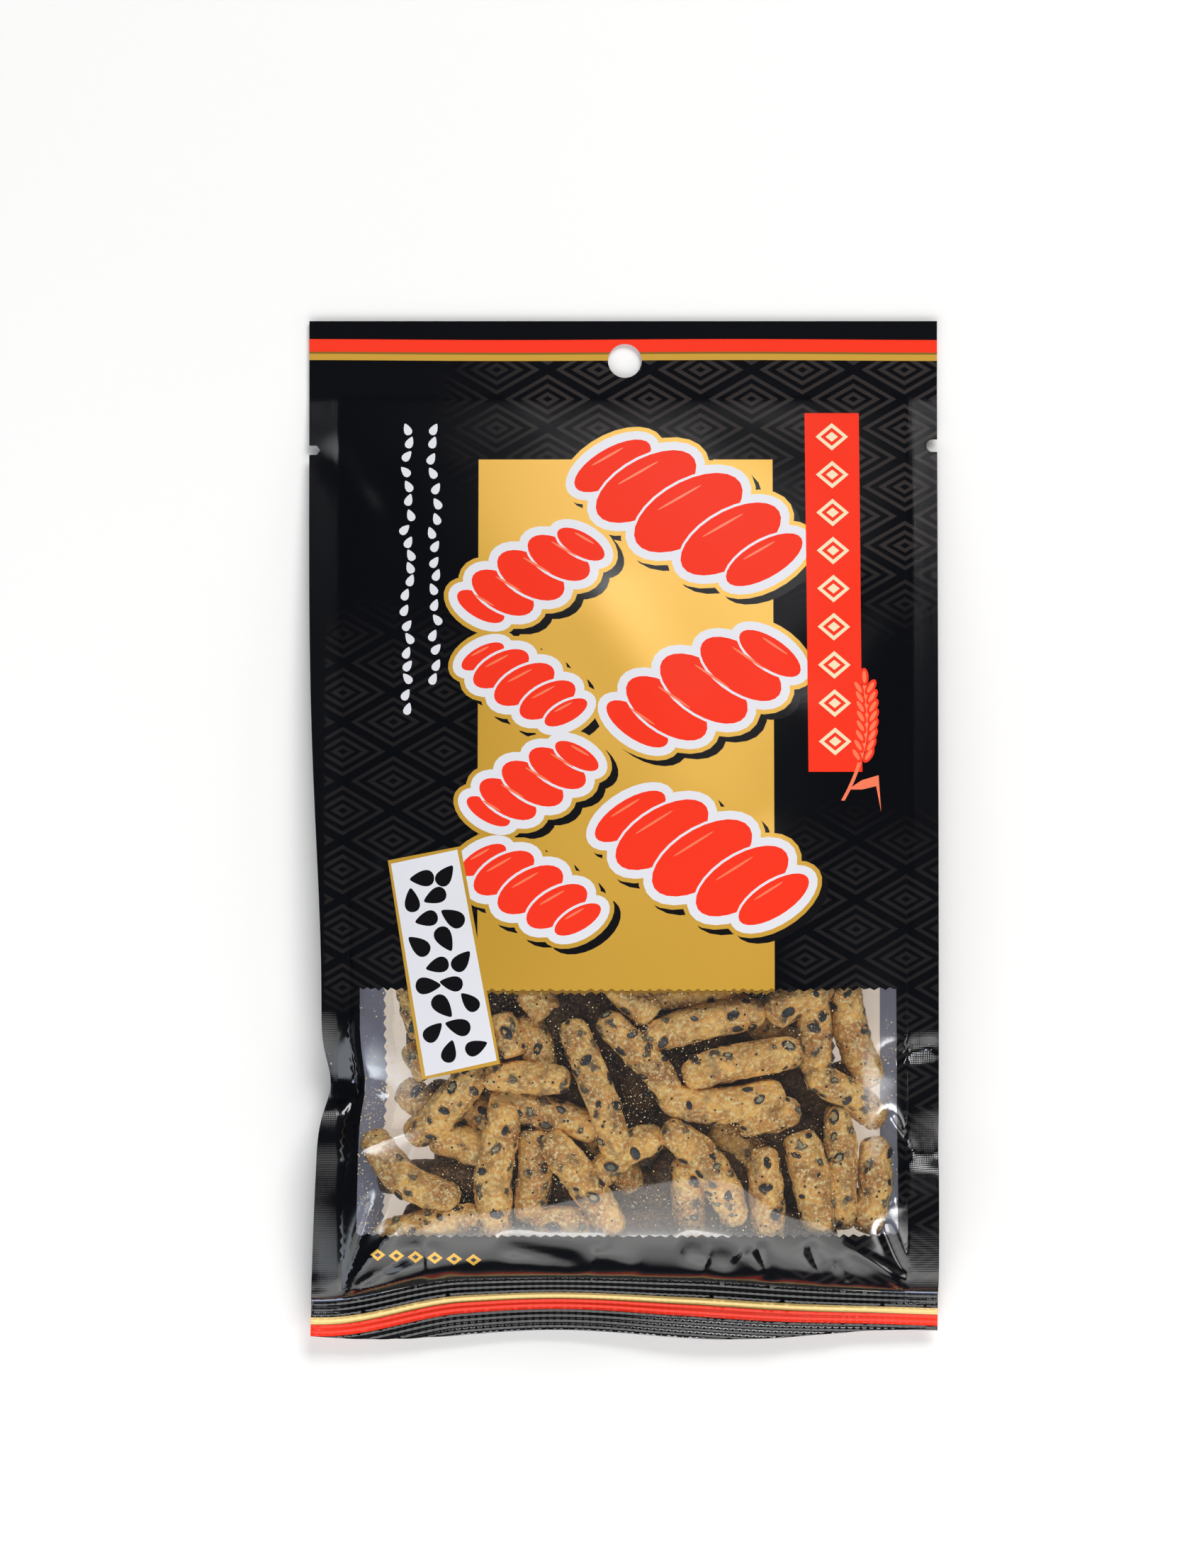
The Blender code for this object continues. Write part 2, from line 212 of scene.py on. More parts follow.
FILM_FOLDS: tuple[Fold, ...] = (
    # the pinched left side: the seal bends down in flaps beside the window
    Fold(-77.0, -64.6, -62.0, -62.2, 1.5, -0.8),
    Fold(-63.6, -43.0, -64.6, -59.0, 4.6, 0.8, 2.0),
    Fold(-65.2, -68.5, -64.4, -42.5, 9.5, -4.2, 0.32, FoldKind.FLAP),
    Fold(-65.8, -88.0, -66.2, -58.0, 3.4, 2.4, 0.5, FoldKind.FLAP),
    Fold(-65.2, -114.0, -66.0, -83.0, 8.6, -3.4, 0.3, FoldKind.FLAP),
    # long creases of the clear film at the lower left
    Fold(-39.5, -54.0, -60.0, -99.0, 2.6, 0.52, 1.5),
    Fold(-34.5, -62.0, -53.0, -99.0, 2.2, -0.34, 1.5),
    Fold(-57.0, -62.5, -65.0, -59.5, 0.8, 0.7),
    Fold(-63.5, -76.0, -49.0, -70.5, 0.8, 0.5),
    Fold(-67.4, -110.0, -59.5, -86.0, 1.5, -1.3),
    Fold(-67.4, -110.0, -52.0, -92.0, 1.5, 1.2),
    Fold(-67.4, -110.0, -47.0, -99.0, 1.6, -1.0),
    Fold(-68.0, -110.0, -47.0, -106.0, 1.4, 0.9),
    # the right side: a dimple across the seam and the folded margin below it
    Fold(76.0, -51.2, 61.0, -54.2, 2.1, -1.7, 2.0),
    Fold(66.6, -66.0, 67.2, -82.0, 7.6, -3.0, 0.7, FoldKind.FLAP),
    Fold(69.6, -78.5, 62.0, -66.5, 1.7, -1.5, 2.0),
    Fold(64.8, -76.0, 64.4, -90.0, 2.0, 1.3, 2.0),
    Fold(67.5, -108.0, 61.0, -93.0, 1.6, -1.4, 2.0),
    Fold(67.5, -108.0, 52.0, -98.0, 1.6, 0.9, 2.0),
    Fold(69.3, 100.0, 69.3, -62.0, 1.1, 0.32, 2.0),
    # dents and gathers between the window and the bottom seal
    Fold(-30.0, -98.6, -9.0, -103.0, 2.6, -1.5, 2.0),
    Fold(-6.0, -100.0, 4.0, -104.6, 3.0, 1.1, 1.8),
    Fold(13.0, -99.0, 27.0, -102.4, 2.8, -1.4, 2.0),
    Fold(35.6, -108.0, 32.0, -97.0, 1.9, -0.9, 1.7),
    Fold(49.2, -108.5, 43.6, -97.4, 2.1, -1.0, 1.7),
    Fold(53.8, -108.5, 49.8, -102.0, 1.3, -0.8, 1.5),
    Fold(17.6, -108.0, 20.6, -98.0, 1.4, 0.9, 1.4),
    Fold(-46.6, -108.5, -47.4, -97.0, 1.2, 0.8, 1.3, FoldKind.STEP),
    Fold(-56.0, -105.6, -38.0, -104.0, 2.4, 0.8, 2.0),
    Fold(-9.6, -107.5, -6.0, -99.0, 1.3, 0.8, 1.4),
    Fold(28.0, -99.6, 33.0, -106.0, 2.4, 0.9, 1.8),
    # soft dents of the slack upper part
    Fold(-71.0, 92.0, -58.0, 72.0, 3.4, 0.45, 2.0),
    Fold(-60.0, 87.0, -50.0, 62.0, 5.0, -0.45, 2.0),
    Fold(-66.0, 60.0, -50.0, 40.0, 4.0, 0.4, 2.0),
    Fold(20.0, 101.0, 60.0, 88.0, 7.0, 0.2, 2.0),
    Fold(-20.0, 102.0, -45.0, 84.0, 7.0, 0.15, 2.0),
    Fold(64.0, 60.0, 40.0, 30.0, 7.0, -0.5, 2.0),
    Fold(-10.0, 60.0, 15.0, 20.0, 9.0, 0.5, 2.0),
    Fold(-30.0, 10.0, -45.0, -20.0, 8.0, -0.6, 2.0),
    Fold(30.0, 0.0, 55.0, -25.0, 7.0, 0.5, 2.0),
    Fold(-62.0, 20.0, -58.0, -10.0, 3.0, 0.6, 2.0),
)


@dataclass(frozen=True)
class PouchForm:
    """The pouch's film as two height fields over the flat pouch."""

    half_width: float
    half_length: float
    side_seal: float = 7.5
    top_seal: float = 18.5
    bottom_seal: float = 14.0
    film: float = 0.12
    fill_thickness: float = 34.0
    fill_top_power: float = 1.15
    fill_bottom_power: float = 0.45
    crown_power: float = 2.4
    crown_roundness: float = 0.85
    front_share: float = 0.56
    back_share: float = 0.50
    top_seam_height: float = 1.0
    full_seam_rise: float = 9.5
    bottom_seam_rise: float = 4.0
    bottom_seam_start: float = -60.0
    bottom_seam_droop: float = 1.2
    seal_lift_wave: float = 1.0
    left_hollow: float = 3.2
    left_hollow_at: float = -42.0
    left_hollow_reach: float = 55.0
    pinch: float = 2.4
    pinch_at: float = -60.5
    pinch_reach: float = 7.5
    edge_fade: float = 14.0
    bottom_wave: float = 1.1
    bottom_wave_at: float = -16.0
    bottom_wave_length: float = 84.0
    left_sweep: float = 5.3
    left_sweep_start: float = -38.0
    left_sweep_reach: float = 38.0
    right_sweep: float = 4.2
    right_sweep_start: float = 14.0
    right_sweep_reach: float = 60.0
    rib_pitch: float = 1.35
    rib_height: float = 0.32
    rib_count: float = 11.0
    pleat_reach: tuple[float, float] = (6.0, 11.5)
    pleat_width: tuple[float, float] = (1.5, 3.0)
    pleat_height: tuple[float, float] = (0.15, 0.55)
    pleat_slant: float = 0.35
    pleat_pitch: tuple[float, float] = (5.5, 10.0)
    ray_height: float = 0.10
    ray_reach: float = 8.5
    ray_fans: tuple[tuple[float, float, float], ...] = ((-1.0, 9.0, 0.4), (1.0, 8.0, 1.9))
    lump_height: float = 0.28
    slow_height: float = 0.35
    belly_rise: float = 1.4
    belly_fall: float = 0.6
    belly_start: float = -78.0
    folds: tuple[Fold, ...] = FILM_FOLDS

    @property
    def seal_start(self) -> float:
        """Return where the bottom seal starts in the middle of the pouch."""
        return self.bottom_seal - self.half_length

    @property
    def inner(self) -> float:
        """Return the distance of the side seals' inner edges from the middle."""
        return self.half_width - self.side_seal

    def sweep(self, x: Array) -> Array:
        """Return how far the bottom seal and its stripes sag towards their ends."""
        left = self.left_sweep * smooth((self.left_sweep_start - x) / self.left_sweep_reach)
        right = self.right_sweep * smooth((x - self.right_sweep_start) / self.right_sweep_reach)
        return -(left + right)

    def along_seal(self, x: Array, y: Array) -> Array:
        """Return y as measured from the sagging bottom seal, unchanged further up."""
        near = smooth((self.seal_start + 22.0 - y) / 20.0)
        return y - self.sweep(x) * near

    def fill(self, y: Array) -> Array:
        """Return how full the pouch is across a line, from 0 at the end seals to 1."""
        top = self.half_length - self.top_seal
        along = np.clip((top - y) / (top - self.seal_start), 0.0, 1.0)
        first, last = self.fill_top_power, self.fill_bottom_power
        peak = first / (first + last)
        highest = peak ** first * (1.0 - peak) ** last
        return along ** first * (1.0 - along) ** last / highest

    def crown(self, x: Array) -> Array:
        """Return the rounded cross-section, from 0 at the side seals to 1."""
        across = np.clip(np.abs(x) / self.inner, 0.0, 1.0)
        return (1.0 - across ** self.crown_power) ** self.crown_roundness

    def seam(self, x: Array, y: Array) -> Array:
        """Return the height of the seams' plane."""
        down = (self.bottom_seam_start - y) / (self.bottom_seam_start - self.seal_start)
        rise = self.full_seam_rise * self.fill(y) ** 0.9 + self.bottom_seam_rise * smooth(down)
        in_seal = smooth((self.seal_start - y) / self.bottom_seal)
        wave = self.seal_lift_wave * np.sin(x / self.half_width * 1.5 * math.pi) * in_seal
        return self.top_seam_height + rise + wave - self.bottom_seam_droop * in_seal

    def ribs(self, y: Array) -> Array:
        """Return the height of the ribs pressed along the bottom seal."""
        along = (self.seal_start - y) / self.rib_pitch
        inside = (along > 0.0) & (along < self.rib_count)
        wave = 0.5 * (1.0 - np.cos(2.0 * math.pi * along))
        return np.where(inside, self.rib_height * wave, 0.0)

    def pleats(self, x: Array, y: Array) -> Array:
        """Return the gathers that rise from the bottom seal into the filled part."""
        draw = random.Random(11)
        above = np.clip(y - self.seal_start, 0.0, None)
        total = np.zeros_like(x)
        place = -self.inner + 6.0
        while place < self.inner - 4.0:
            reach = draw.uniform(*self.pleat_reach)
            width = draw.uniform(*self.pleat_width)
            height = draw.choice((-1.0, 1.0)) * draw.uniform(*self.pleat_height)
            slant = draw.uniform(-self.pleat_slant, self.pleat_slant)
            away = (x - place - slant * above) / (width + 0.16 * above)
            rise = smooth(above / 1.4) * np.exp(-above / reach)
            total += height * rise * np.exp(-away ** 2)
            place += draw.uniform(*self.pleat_pitch)
        return total

    def corner_rays(self, x: Array, y: Array) -> Array:
        """Return the creases that fan out of the two lower corners of the filling."""
        total = np.zeros_like(x)
        for side, turns, phase in self.ray_fans:
            dx, dy = (self.inner - side * x), (y - self.seal_start)
            reach = np.hypot(dx, dy)
            angle = np.arctan2(np.clip(dy, 0.0, None), np.clip(dx, 1e-6, None))
            fan = np.sin(turns * angle + phase) * np.sin(2.0 * angle) ** 2
            total += self.ray_height * reach * np.exp(-(reach / self.ray_reach) ** 1.5) * fan
        return total

    def swell(self, x: Array, y: Array) -> Array:
        """Return the slight unevenness that the filling gives the film."""
        lumps = np.sin(x / 9.5 + 0.7 * np.sin(y / 13.0)) * np.sin(y / 10.5 + 0.9)
        slow = np.sin(x / 23.0 + 1.3) * np.sin(y / 29.0 - 0.4)
        height = self.lump_height * lumps + self.slow_height * slow
        return height * self.fill(y) * self.crown(x)

    def belly(self, x: Array, y: Array) -> Array:
        """Return how the filling sags lower on both sides of its steepest place."""
        beside = smooth((x - 24.0) / 20.0) + smooth(-x / 34.0)
        lift = self.belly_rise * beside - self.belly_fall * bell(x - 16.0, 20.0)
        return lift * smooth((self.belly_start - y) / 16.0) * smooth((y - self.seal_start) / 6.0)

    def creases(self, x: Array, y: Array) -> Array:
        """Return the sum of all folds, faded out at the bottom seal."""
        total = np.zeros_like(x)
        for fold in self.folds:
            total += fold.lift(x, y)
        return total * smooth((self.along_seal(x, y) - self.seal_start) / 3.0)

    def front(self, x: Array, y: Array) -> Array:
        """Return the height of the front film's outer face."""
        x, y = np.asarray(x, float), np.asarray(y, float)
        level = self.along_seal(x, y)
        bulge = self.front_share * self.fill_thickness * self.fill(level) * self.crown(x)
        relief = self.creases(x, y) + self.swell(x, level) + self.belly(x, level)
        relief += self.pleats(x, level) + self.corner_rays(x, level)
        height = self.seam(x, level) + self.film + bulge + relief + self.ribs(level)
        return np.maximum(height, self.back(x, y) + 2.1 * self.film)

    def back(self, x: Array, y: Array) -> Array:
        """Return the height of the back film's outer face, which rests on the table."""
        x, y = np.asarray(x, float), np.asarray(y, float)
        level = self.along_seal(x, y)
        sag = self.back_share * self.fill_thickness * self.fill(level) * self.crown(x)
        dimple = self.creases(x, y) * smooth((np.abs(x) - self.inner + 1.0) / 2.5)
        height = self.seam(x, level) - self.film - sag + dimple + self.ribs(level)
        return np.maximum(height, 0.0)

    def plan(self, x: Array, y: Array) -> tuple[Array, Array]:
        """Return where points of the flat pouch lie in plan, with the outline's dents."""
        hollow = self.left_hollow * bell(y - self.left_hollow_at, self.left_hollow_reach)
        pinch = self.pinch * bell(y - self.pinch_at, self.pinch_reach)
        near_left = bell(x + self.half_width, self.edge_fade)
        turn = 2.0 * math.pi * (x - self.bottom_wave_at) / self.bottom_wave_length
        wave = self.bottom_wave * (1.0 + np.cos(turn))
        near_bottom = bell(y + self.half_length, self.edge_fade)
        return x + (hollow + pinch) * near_left, y + wave * near_bottom

    def flat(self, across: Array, along: Array) -> tuple[Array, Array]:
        """Return where points in plan lie on the flat pouch."""
        x, y = across, along
        for _ in range(6):
            plan_x, plan_y = self.plan(x, y)
            x, y = x + across - plan_x, y + along - plan_y
        return x, y

    def place(self, x: Array, y: Array, height: Callable) -> Array:
        """Return the places in space of points of the flat pouch, in millimetres."""
        across, along = self.plan(x, y)
        return np.stack([across, along, height(x, y)], axis=1)

    def normals(self, x: Array, y: Array, height: Callable) -> Array:
        """Return upward unit normals, measured over a short step of the film."""
        step = 0.12
        right = self.place(x + step, y, height) - self.place(x - step, y, height)
        ahead = self.place(x, y + step, height) - self.place(x, y - step, height)
        cross = np.cross(right, ahead)
        return cross / np.linalg.norm(cross, axis=1, keepdims=True)


# ------------------------------------------------------------------ finishes

class NodeSheet:
    """Builds the nodes of one material or geometry tree."""

    def __init__(self, tree: Tree) -> None:
        """Keep the tree that the nodes go into."""
        self.tree = tree

    def set(self, socket: Socket, value: object) -> None:
        """Link an output to a socket, or set the socket's plain value."""
        if isinstance(value, Socket):
            self.tree.links.new(value, socket)
        else:
            socket.default_value = value

    def add(self, kind: str, inputs: dict | None = None, **settings: object) -> bpy.types.Node:
        """Add a node.

        Args:
            kind: the node's type name.
            inputs: values or outputs for its sockets, by name or index.
            settings: plain properties of the node.

        Returns:
            The node.
        """
        node = self.tree.nodes.new(kind)
        for name, value in settings.items():
            setattr(node, name, value)
        for name, value in (inputs or {}).items():
            self.set(node.inputs[name], value)
        return node

    def math(self, operation: str, *values: object) -> Socket:
        """Add one step of arithmetic and return its result."""
        return self.add("ShaderNodeMath", dict(enumerate(values)), operation=operation).outputs[0]

    def times(self, first: object, last: object) -> Socket:
        """Return a product."""
        return self.math("MULTIPLY", first, last)

    def line(self, value: object, slope: object, start: object) -> Socket:
        """Return a value times a slope, plus a start."""
        return self.math("MULTIPLY_ADD", value, slope, start)

    def minus(self, first: object, last: object) -> Socket:
        """Return a difference."""
        return self.math("SUBTRACT", first, last)

    def split(self, vector: object) -> list[Socket]:
        """Return the x, y and z of a vector."""
        return list(self.add("ShaderNodeSeparateXYZ", {0: vector}).outputs)

    def coords(self) -> Socket:
        """Return places on the piece, in metres."""
        return self.add("ShaderNodeTexCoord").outputs["Object"]

    def position(self) -> Socket:
        """Return the places of a geometry's points."""
        return self.add("GeometryNodeInputPosition").outputs[0]

    def normal(self) -> Socket:
        """Return the normals of a geometry's points or faces."""
        return self.add("GeometryNodeInputNormal").outputs[0]

    def ramp(self, value: object, low: float, high: float) -> Socket:
        """Return 0 to 1 as a value goes smoothly from low to high."""
        inputs = {"Value": value, "From Min": low, "From Max": high}
        node = self.add("ShaderNodeMapRange", inputs, interpolation_type="SMOOTHSTEP")
        return node.outputs["Result"]

    def blend(self, share: object, first: object, second: object) -> Socket:
        """Return a mix of two colours."""
        inputs = {0: share, 6: first, 7: second}
        return self.add("ShaderNodeMix", inputs, data_type="RGBA").outputs[2]

    def over(self, color: object, share: object, ink: tuple) -> Socket:
        """Return a colour with an 8-bit colour laid over it by a share."""
        return self.blend(share, color, linear(*ink))

    def random(self, low: float, high: float, seed: int) -> Socket:
        """Return a seeded random number for each element."""
        node = self.add("FunctionNodeRandomValue", {2: low, 3: high, "Seed": seed})
        return node.outputs[1]

    def store(self, made: object, name: str, value: object) -> Socket:
        """Store a named number on every point of a geometry."""
        inputs = {"Geometry": made, "Name": name, "Value": value}
        kind = "GeometryNodeStoreNamedAttribute"
        return self.add(kind, inputs, data_type="FLOAT", domain="POINT").outputs[0]

    def bump(self, height: object, strength: float, depth: float) -> Socket:
        """Return the normal of a face that a height moves, up to a depth in metres."""
        inputs = {"Strength": strength, "Distance": depth, "Height": height}
        return self.add("ShaderNodeBump", inputs).outputs[0]

    def mix(self, share: object, first: bpy.types.Node, last: bpy.types.Node) -> bpy.types.Node:
        """Return a mix of two shaders."""
        inputs = {0: share, 1: first.outputs[0], 2: last.outputs[0]}
        return self.add("ShaderNodeMixShader", inputs)

    def noise(self, place: object, scale: float, detail: float) -> Socket:
        """Return fractal noise at a place, scaled for metres."""
        inputs = {"Vector": place, "Scale": scale, "Detail": detail, "Roughness": 0.6}
        return self.add("ShaderNodeTexNoise", inputs).outputs[0]


def new_material(name: str) -> tuple[Material, NodeSheet, bpy.types.Node]:
    """Return a fresh material, its node sheet and its Principled shader."""
    material = bpy.data.materials.new(name)
    material.use_nodes = True
    sheet = NodeSheet(material.node_tree)
    return material, sheet, material.node_tree.nodes["Principled BSDF"]


@dataclass(frozen=True)
class Ink:
    """One plain ink under the pouch's glossy laminate."""

    name: str
    color: Color
    roughness: float = 0.22
    metallic: float = 0.0
    glow: float = 0.0
    coat: float = 0.5
    coat_roughness: float = 0.1
    specular: float = 0.5

    def build(self) -> Material:
        """Return the ink's material; a glow is painted light, standing for light that comes through
        the film or that the film reflects.
        """
        material, _, shader = new_material(self.name)
        values = {
            "Base Color": linear(*self.color), "Roughness": self.roughness,
            "Metallic": self.metallic, "Specular IOR Level": self.specular,
            "Emission Color": linear(*self.color), "Emission Strength": self.glow,
            "Coat Weight": self.coat, "Coat Roughness": self.coat_roughness,
        }
        for socket, value in values.items():
            shader.inputs[socket].default_value = value
        return material


@dataclass(frozen=True)
class LozengeFilm:
    """Black gloss film with a faint printed net of nested lozenges.

    Each printed part is a strength and the spans over which it fades in, and each limit is one
    more span. A span is an axis, where the net is bare and where it is fully printed.
    """

    name: str = "black_lozenge_film"
    black: Color = (7, 8, 13)
    line: Color = (52, 47, 46)
    half_width: float = 12.18
    half_height: float = 7.02
    centre_x: float = 67.2
    centre_y: float = 109.9
    roughness: float = 0.14
    specular: float = 0.85
    ring_edges: tuple[float, ...] = (0.10, 0.24, 0.38, 0.53, 0.70, 0.84)
    printed: tuple[tuple, ...] = (
        (1.0, ("y", 74.0, 100.0), ("x", -48.0, -12.0)),
        (1.0, ("y", 42.0, 74.0), ("x", 34.0, 52.0)),
        (0.42, ("y", 58.0, 30.0), ("x", -30.0, -40.0), ("y", -48.0, -34.0)),
        (0.42, ("y", 10.0, -16.0), ("x", 34.0, 44.0)),
    )
    limits: tuple[tuple, ...] = (
        ("y", 112.4, 112.3), ("y", -109.0, -107.0), ("x", -71.6, -70.6), ("z", 0.2, 0.9),
    )
    knurl_pitch: float = 0.85
    seal_side: tuple[float, float] = (67.6, 68.4)
    seal_top: tuple[float, float] = (103.0, 104.0)
    drawn_height: float = 3.0
    pressed_height: float = 0.022
    crinkle_height: float = 0.014

    def build(self) -> Material:
        """Return the film's material."""
        material, sheet, shader = new_material(self.name)
        coords = sheet.coords()
        x, y, z = (sheet.times(axis, 1.0 / MM) for axis in sheet.split(coords))
        share = sheet.times(self.rings(sheet, x, y), self.shown(sheet, {"x": x, "y": y, "z": z}))
        color = sheet.blend(share, linear(*self.black), linear(*self.line))
        sheet.set(shader.inputs["Base Color"], color)
        shader.inputs["Roughness"].default_value = self.roughness
        shader.inputs["Specular IOR Level"].default_value = self.specular
        sheet.set(shader.inputs["Normal"], self.relief(sheet, coords, x, y))
        return material

    def rings(self, sheet: NodeSheet, x: object, y: object) -> Socket:
        """Return 1 on the rings of the nested lozenges."""
        across = sheet.math("DIVIDE", sheet.minus(x, self.centre_x), self.half_width)
        along = sheet.math("DIVIDE", sheet.minus(y, self.centre_y), self.half_height)
        edges = []
        for step in (sheet.math("ADD", across, along), sheet.minus(across, along)):
            edges.append(sheet.math("ABSOLUTE", sheet.math("WRAP", step, 1.0, -1.0)))
        ramp = sheet.add("ShaderNodeValToRGB", {0: sheet.math("MAXIMUM", *edges)})
        ramp.color_ramp.interpolation = "CONSTANT"
        stops = ramp.color_ramp.elements
        stops[0].position, stops[1].position = 0.0, self.ring_edges[0]
        for place in self.ring_edges[1:]:
            stops.new(place)
        for number, stop in enumerate(stops):
            level = float(number % 2)
            stop.color = (level, level, level, 1.0)
        return ramp.outputs[0]

    def shown(self, sheet: NodeSheet, axes: dict[str, object]) -> object:
        """Return where the net is printed: it fades out between the corners."""
        shown: object = 0.0
        for strength, *spans in self.printed:
            part = self.within(sheet, axes, strength, spans)
            shown = sheet.math("MAXIMUM", shown, part)
        return self.within(sheet, axes, shown, self.limits)

    def within(self, sheet: NodeSheet, axes: dict[str, object], share: object,
               spans: tuple[tuple, ...] | list[tuple]) -> object:
        """Return a share, faded out beyond each of the spans."""
        for axis, bare, full in spans:
            share = sheet.times(share, sheet.ramp(axes[axis], bare, full))
        return share

    def relief(self, sheet: NodeSheet, coords: object, x: object, y: object) -> object:
        """Return the bumped normal: pressed knurls in the seals, fine crinkle elsewhere."""
        turn = 2.0 * math.pi / self.knurl_pitch
        first = sheet.math("SINE", sheet.times(sheet.math("ADD", x, y), turn))
        last = sheet.math("SINE", sheet.times(sheet.minus(x, y), turn))
        seal = sheet.math("MAXIMUM", sheet.ramp(sheet.math("ABSOLUTE", x), *self.seal_side),
                          sheet.ramp(y, *self.seal_top))
        drawn = sheet.add("ShaderNodeCombineXYZ", {0: x, 1: sheet.times(y, 0.14)}).outputs[0]
        drawn = sheet.line(sheet.noise(drawn, 0.8, 3.0), self.drawn_height, sheet.times(first, last))
        pressed = sheet.times(sheet.times(drawn, seal), self.pressed_height)
        height = sheet.line(sheet.noise(coords, 420.0, 3.0), self.crinkle_height, pressed)
        return sheet.bump(height, 1.0, MM)


@dataclass(frozen=True)
class ClearFilm:
    """Clear gloss film with a slight haze."""

    name: str = "clear_film"
    haze: float = 0.006
    edge_gloss: float = 0.30
    facing_gloss: float = 0.014
    roughness: float = 0.06

    def build(self) -> Material:
        """Return the film's material."""
        material, sheet, shader = new_material(self.name)
        normal = sheet.bump(sheet.noise(sheet.coords(), 260.0, 2.0), 0.05, 0.3 * MM)
        inputs = {"Color": (1.0, 1.0, 1.0, 1.0), "Roughness": self.roughness, "Normal": normal}
        gloss = sheet.add("ShaderNodeBsdfAnisotropic", inputs)
        clear = sheet.add("ShaderNodeBsdfTransparent", {"Color": (0.99, 0.99, 0.99, 1.0)})
        veil = sheet.add("ShaderNodeBsdfDiffuse", {"Color": (0.82, 0.86, 0.95, 1.0)})
        grazing = sheet.add("ShaderNodeLayerWeight", {"Blend": 0.5}).outputs["Fresnel"]
        share = sheet.line(grazing, self.edge_gloss, self.facing_gloss)
        mixed = sheet.mix(share, sheet.mix(self.haze, clear, veil), gloss)
        sheet.set(sheet.tree.nodes["Material Output"].inputs[0], mixed.outputs[0])
        sheet.tree.nodes.remove(shader)
        return material


@dataclass(frozen=True)
class FriedDough:
    """Golden fried dough: grainy, mottled, with dark seeds showing under the crust."""

    name: str = "fried_dough"
    pale: Color = (255, 238, 176)
    golden: Color = (255, 204, 112)
    amber: Color = (216, 146, 70)
    brown: Color = (164, 112, 58)
    buried_seed: Color = (50, 54, 58)
    open_seed: Color = (166, 162, 128)
    dull: Color = (128, 108, 80)
    speck: Color = (34, 30, 28)
    roughness: float = 0.46
    relief: float = 0.9 * MM

    def build(self) -> Material:
        """Return the dough's material."""
        material, sheet, shader = new_material(self.name)
        coords = sheet.coords()
        grain = sheet.noise(coords, 1050.0, 4.0)
        color = self.seeds(sheet, coords, self.crust(sheet, coords, grain))
        color = self.specks(sheet, coords, color)
        sheet.set(shader.inputs["Base Color"], color)
        shader.inputs["Roughness"].default_value = self.roughness
        height = sheet.line(grain, 0.5, sheet.noise(coords, 620.0, 3.0))
        sheet.set(shader.inputs["Normal"], sheet.bump(height, 1.0, self.relief))
        return material

    def crust(self, sheet: NodeSheet, coords: object, grain: object) -> Socket:
        """Return the mottled colour of the crust."""
        patch = sheet.ramp(sheet.noise(coords, 150.0, 3.0), 0.34, 0.62)
        color = sheet.blend(patch, linear(*self.brown), linear(*self.golden))
        mottle = sheet.times(sheet.ramp(sheet.noise(coords, 520.0, 3.0), 0.44, 0.60), 0.7)
        color = sheet.over(color, mottle, self.amber)
        color = sheet.over(color, sheet.ramp(grain, 0.44, 0.72), self.pale)
        haze = sheet.times(sheet.ramp(sheet.noise(coords, 240.0, 2.0), 0.56, 0.70), 0.5)
        return sheet.over(color, haze, self.dull)

    def seeds(self, sheet: NodeSheet, coords: object, color: object) -> Socket:
        """Return a colour with ragged seeds under the crust, some with a pale middle."""
        bent = sheet.add("ShaderNodeTexNoise", {"Vector": coords, "Scale": 500.0})
        inputs = {0: bent.outputs["Color"], 1: (3.2 * MM, 3.2 * MM, 3.2 * MM), 2: coords}
        warped = sheet.add("ShaderNodeVectorMath", inputs, operation="MULTIPLY_ADD")
        cells = sheet.add("ShaderNodeTexVoronoi", {"Vector": warped.outputs[0], "Scale": 250.0})
        torn = sheet.line(sheet.noise(coords, 1500.0, 2.0), 0.34, cells.outputs["Distance"])
        chosen = sheet.split(cells.outputs["Color"])[0]
        smudge = sheet.times(sheet.times(sheet.ramp(torn, 0.60, 0.36), 0.92),
                             sheet.ramp(chosen, 0.56, 0.64))
        color = sheet.over(color, smudge, self.buried_seed)
        middle = sheet.times(sheet.ramp(torn, 0.36, 0.26), sheet.ramp(chosen, 0.80, 0.84))
        return sheet.over(color, middle, self.open_seed)

    def specks(self, sheet: NodeSheet, coords: object, color: object) -> Socket:
        """Return a colour with a few dark specks."""
        specks = sheet.add("ShaderNodeTexVoronoi", {"Vector": coords, "Scale": 760.0})
        dots = sheet.ramp(specks.outputs["Distance"], 0.30, 0.18)
        picked = sheet.ramp(sheet.split(specks.outputs["Color"])[1], 0.80, 0.84)
        return sheet.over(color, sheet.times(dots, picked), self.speck)


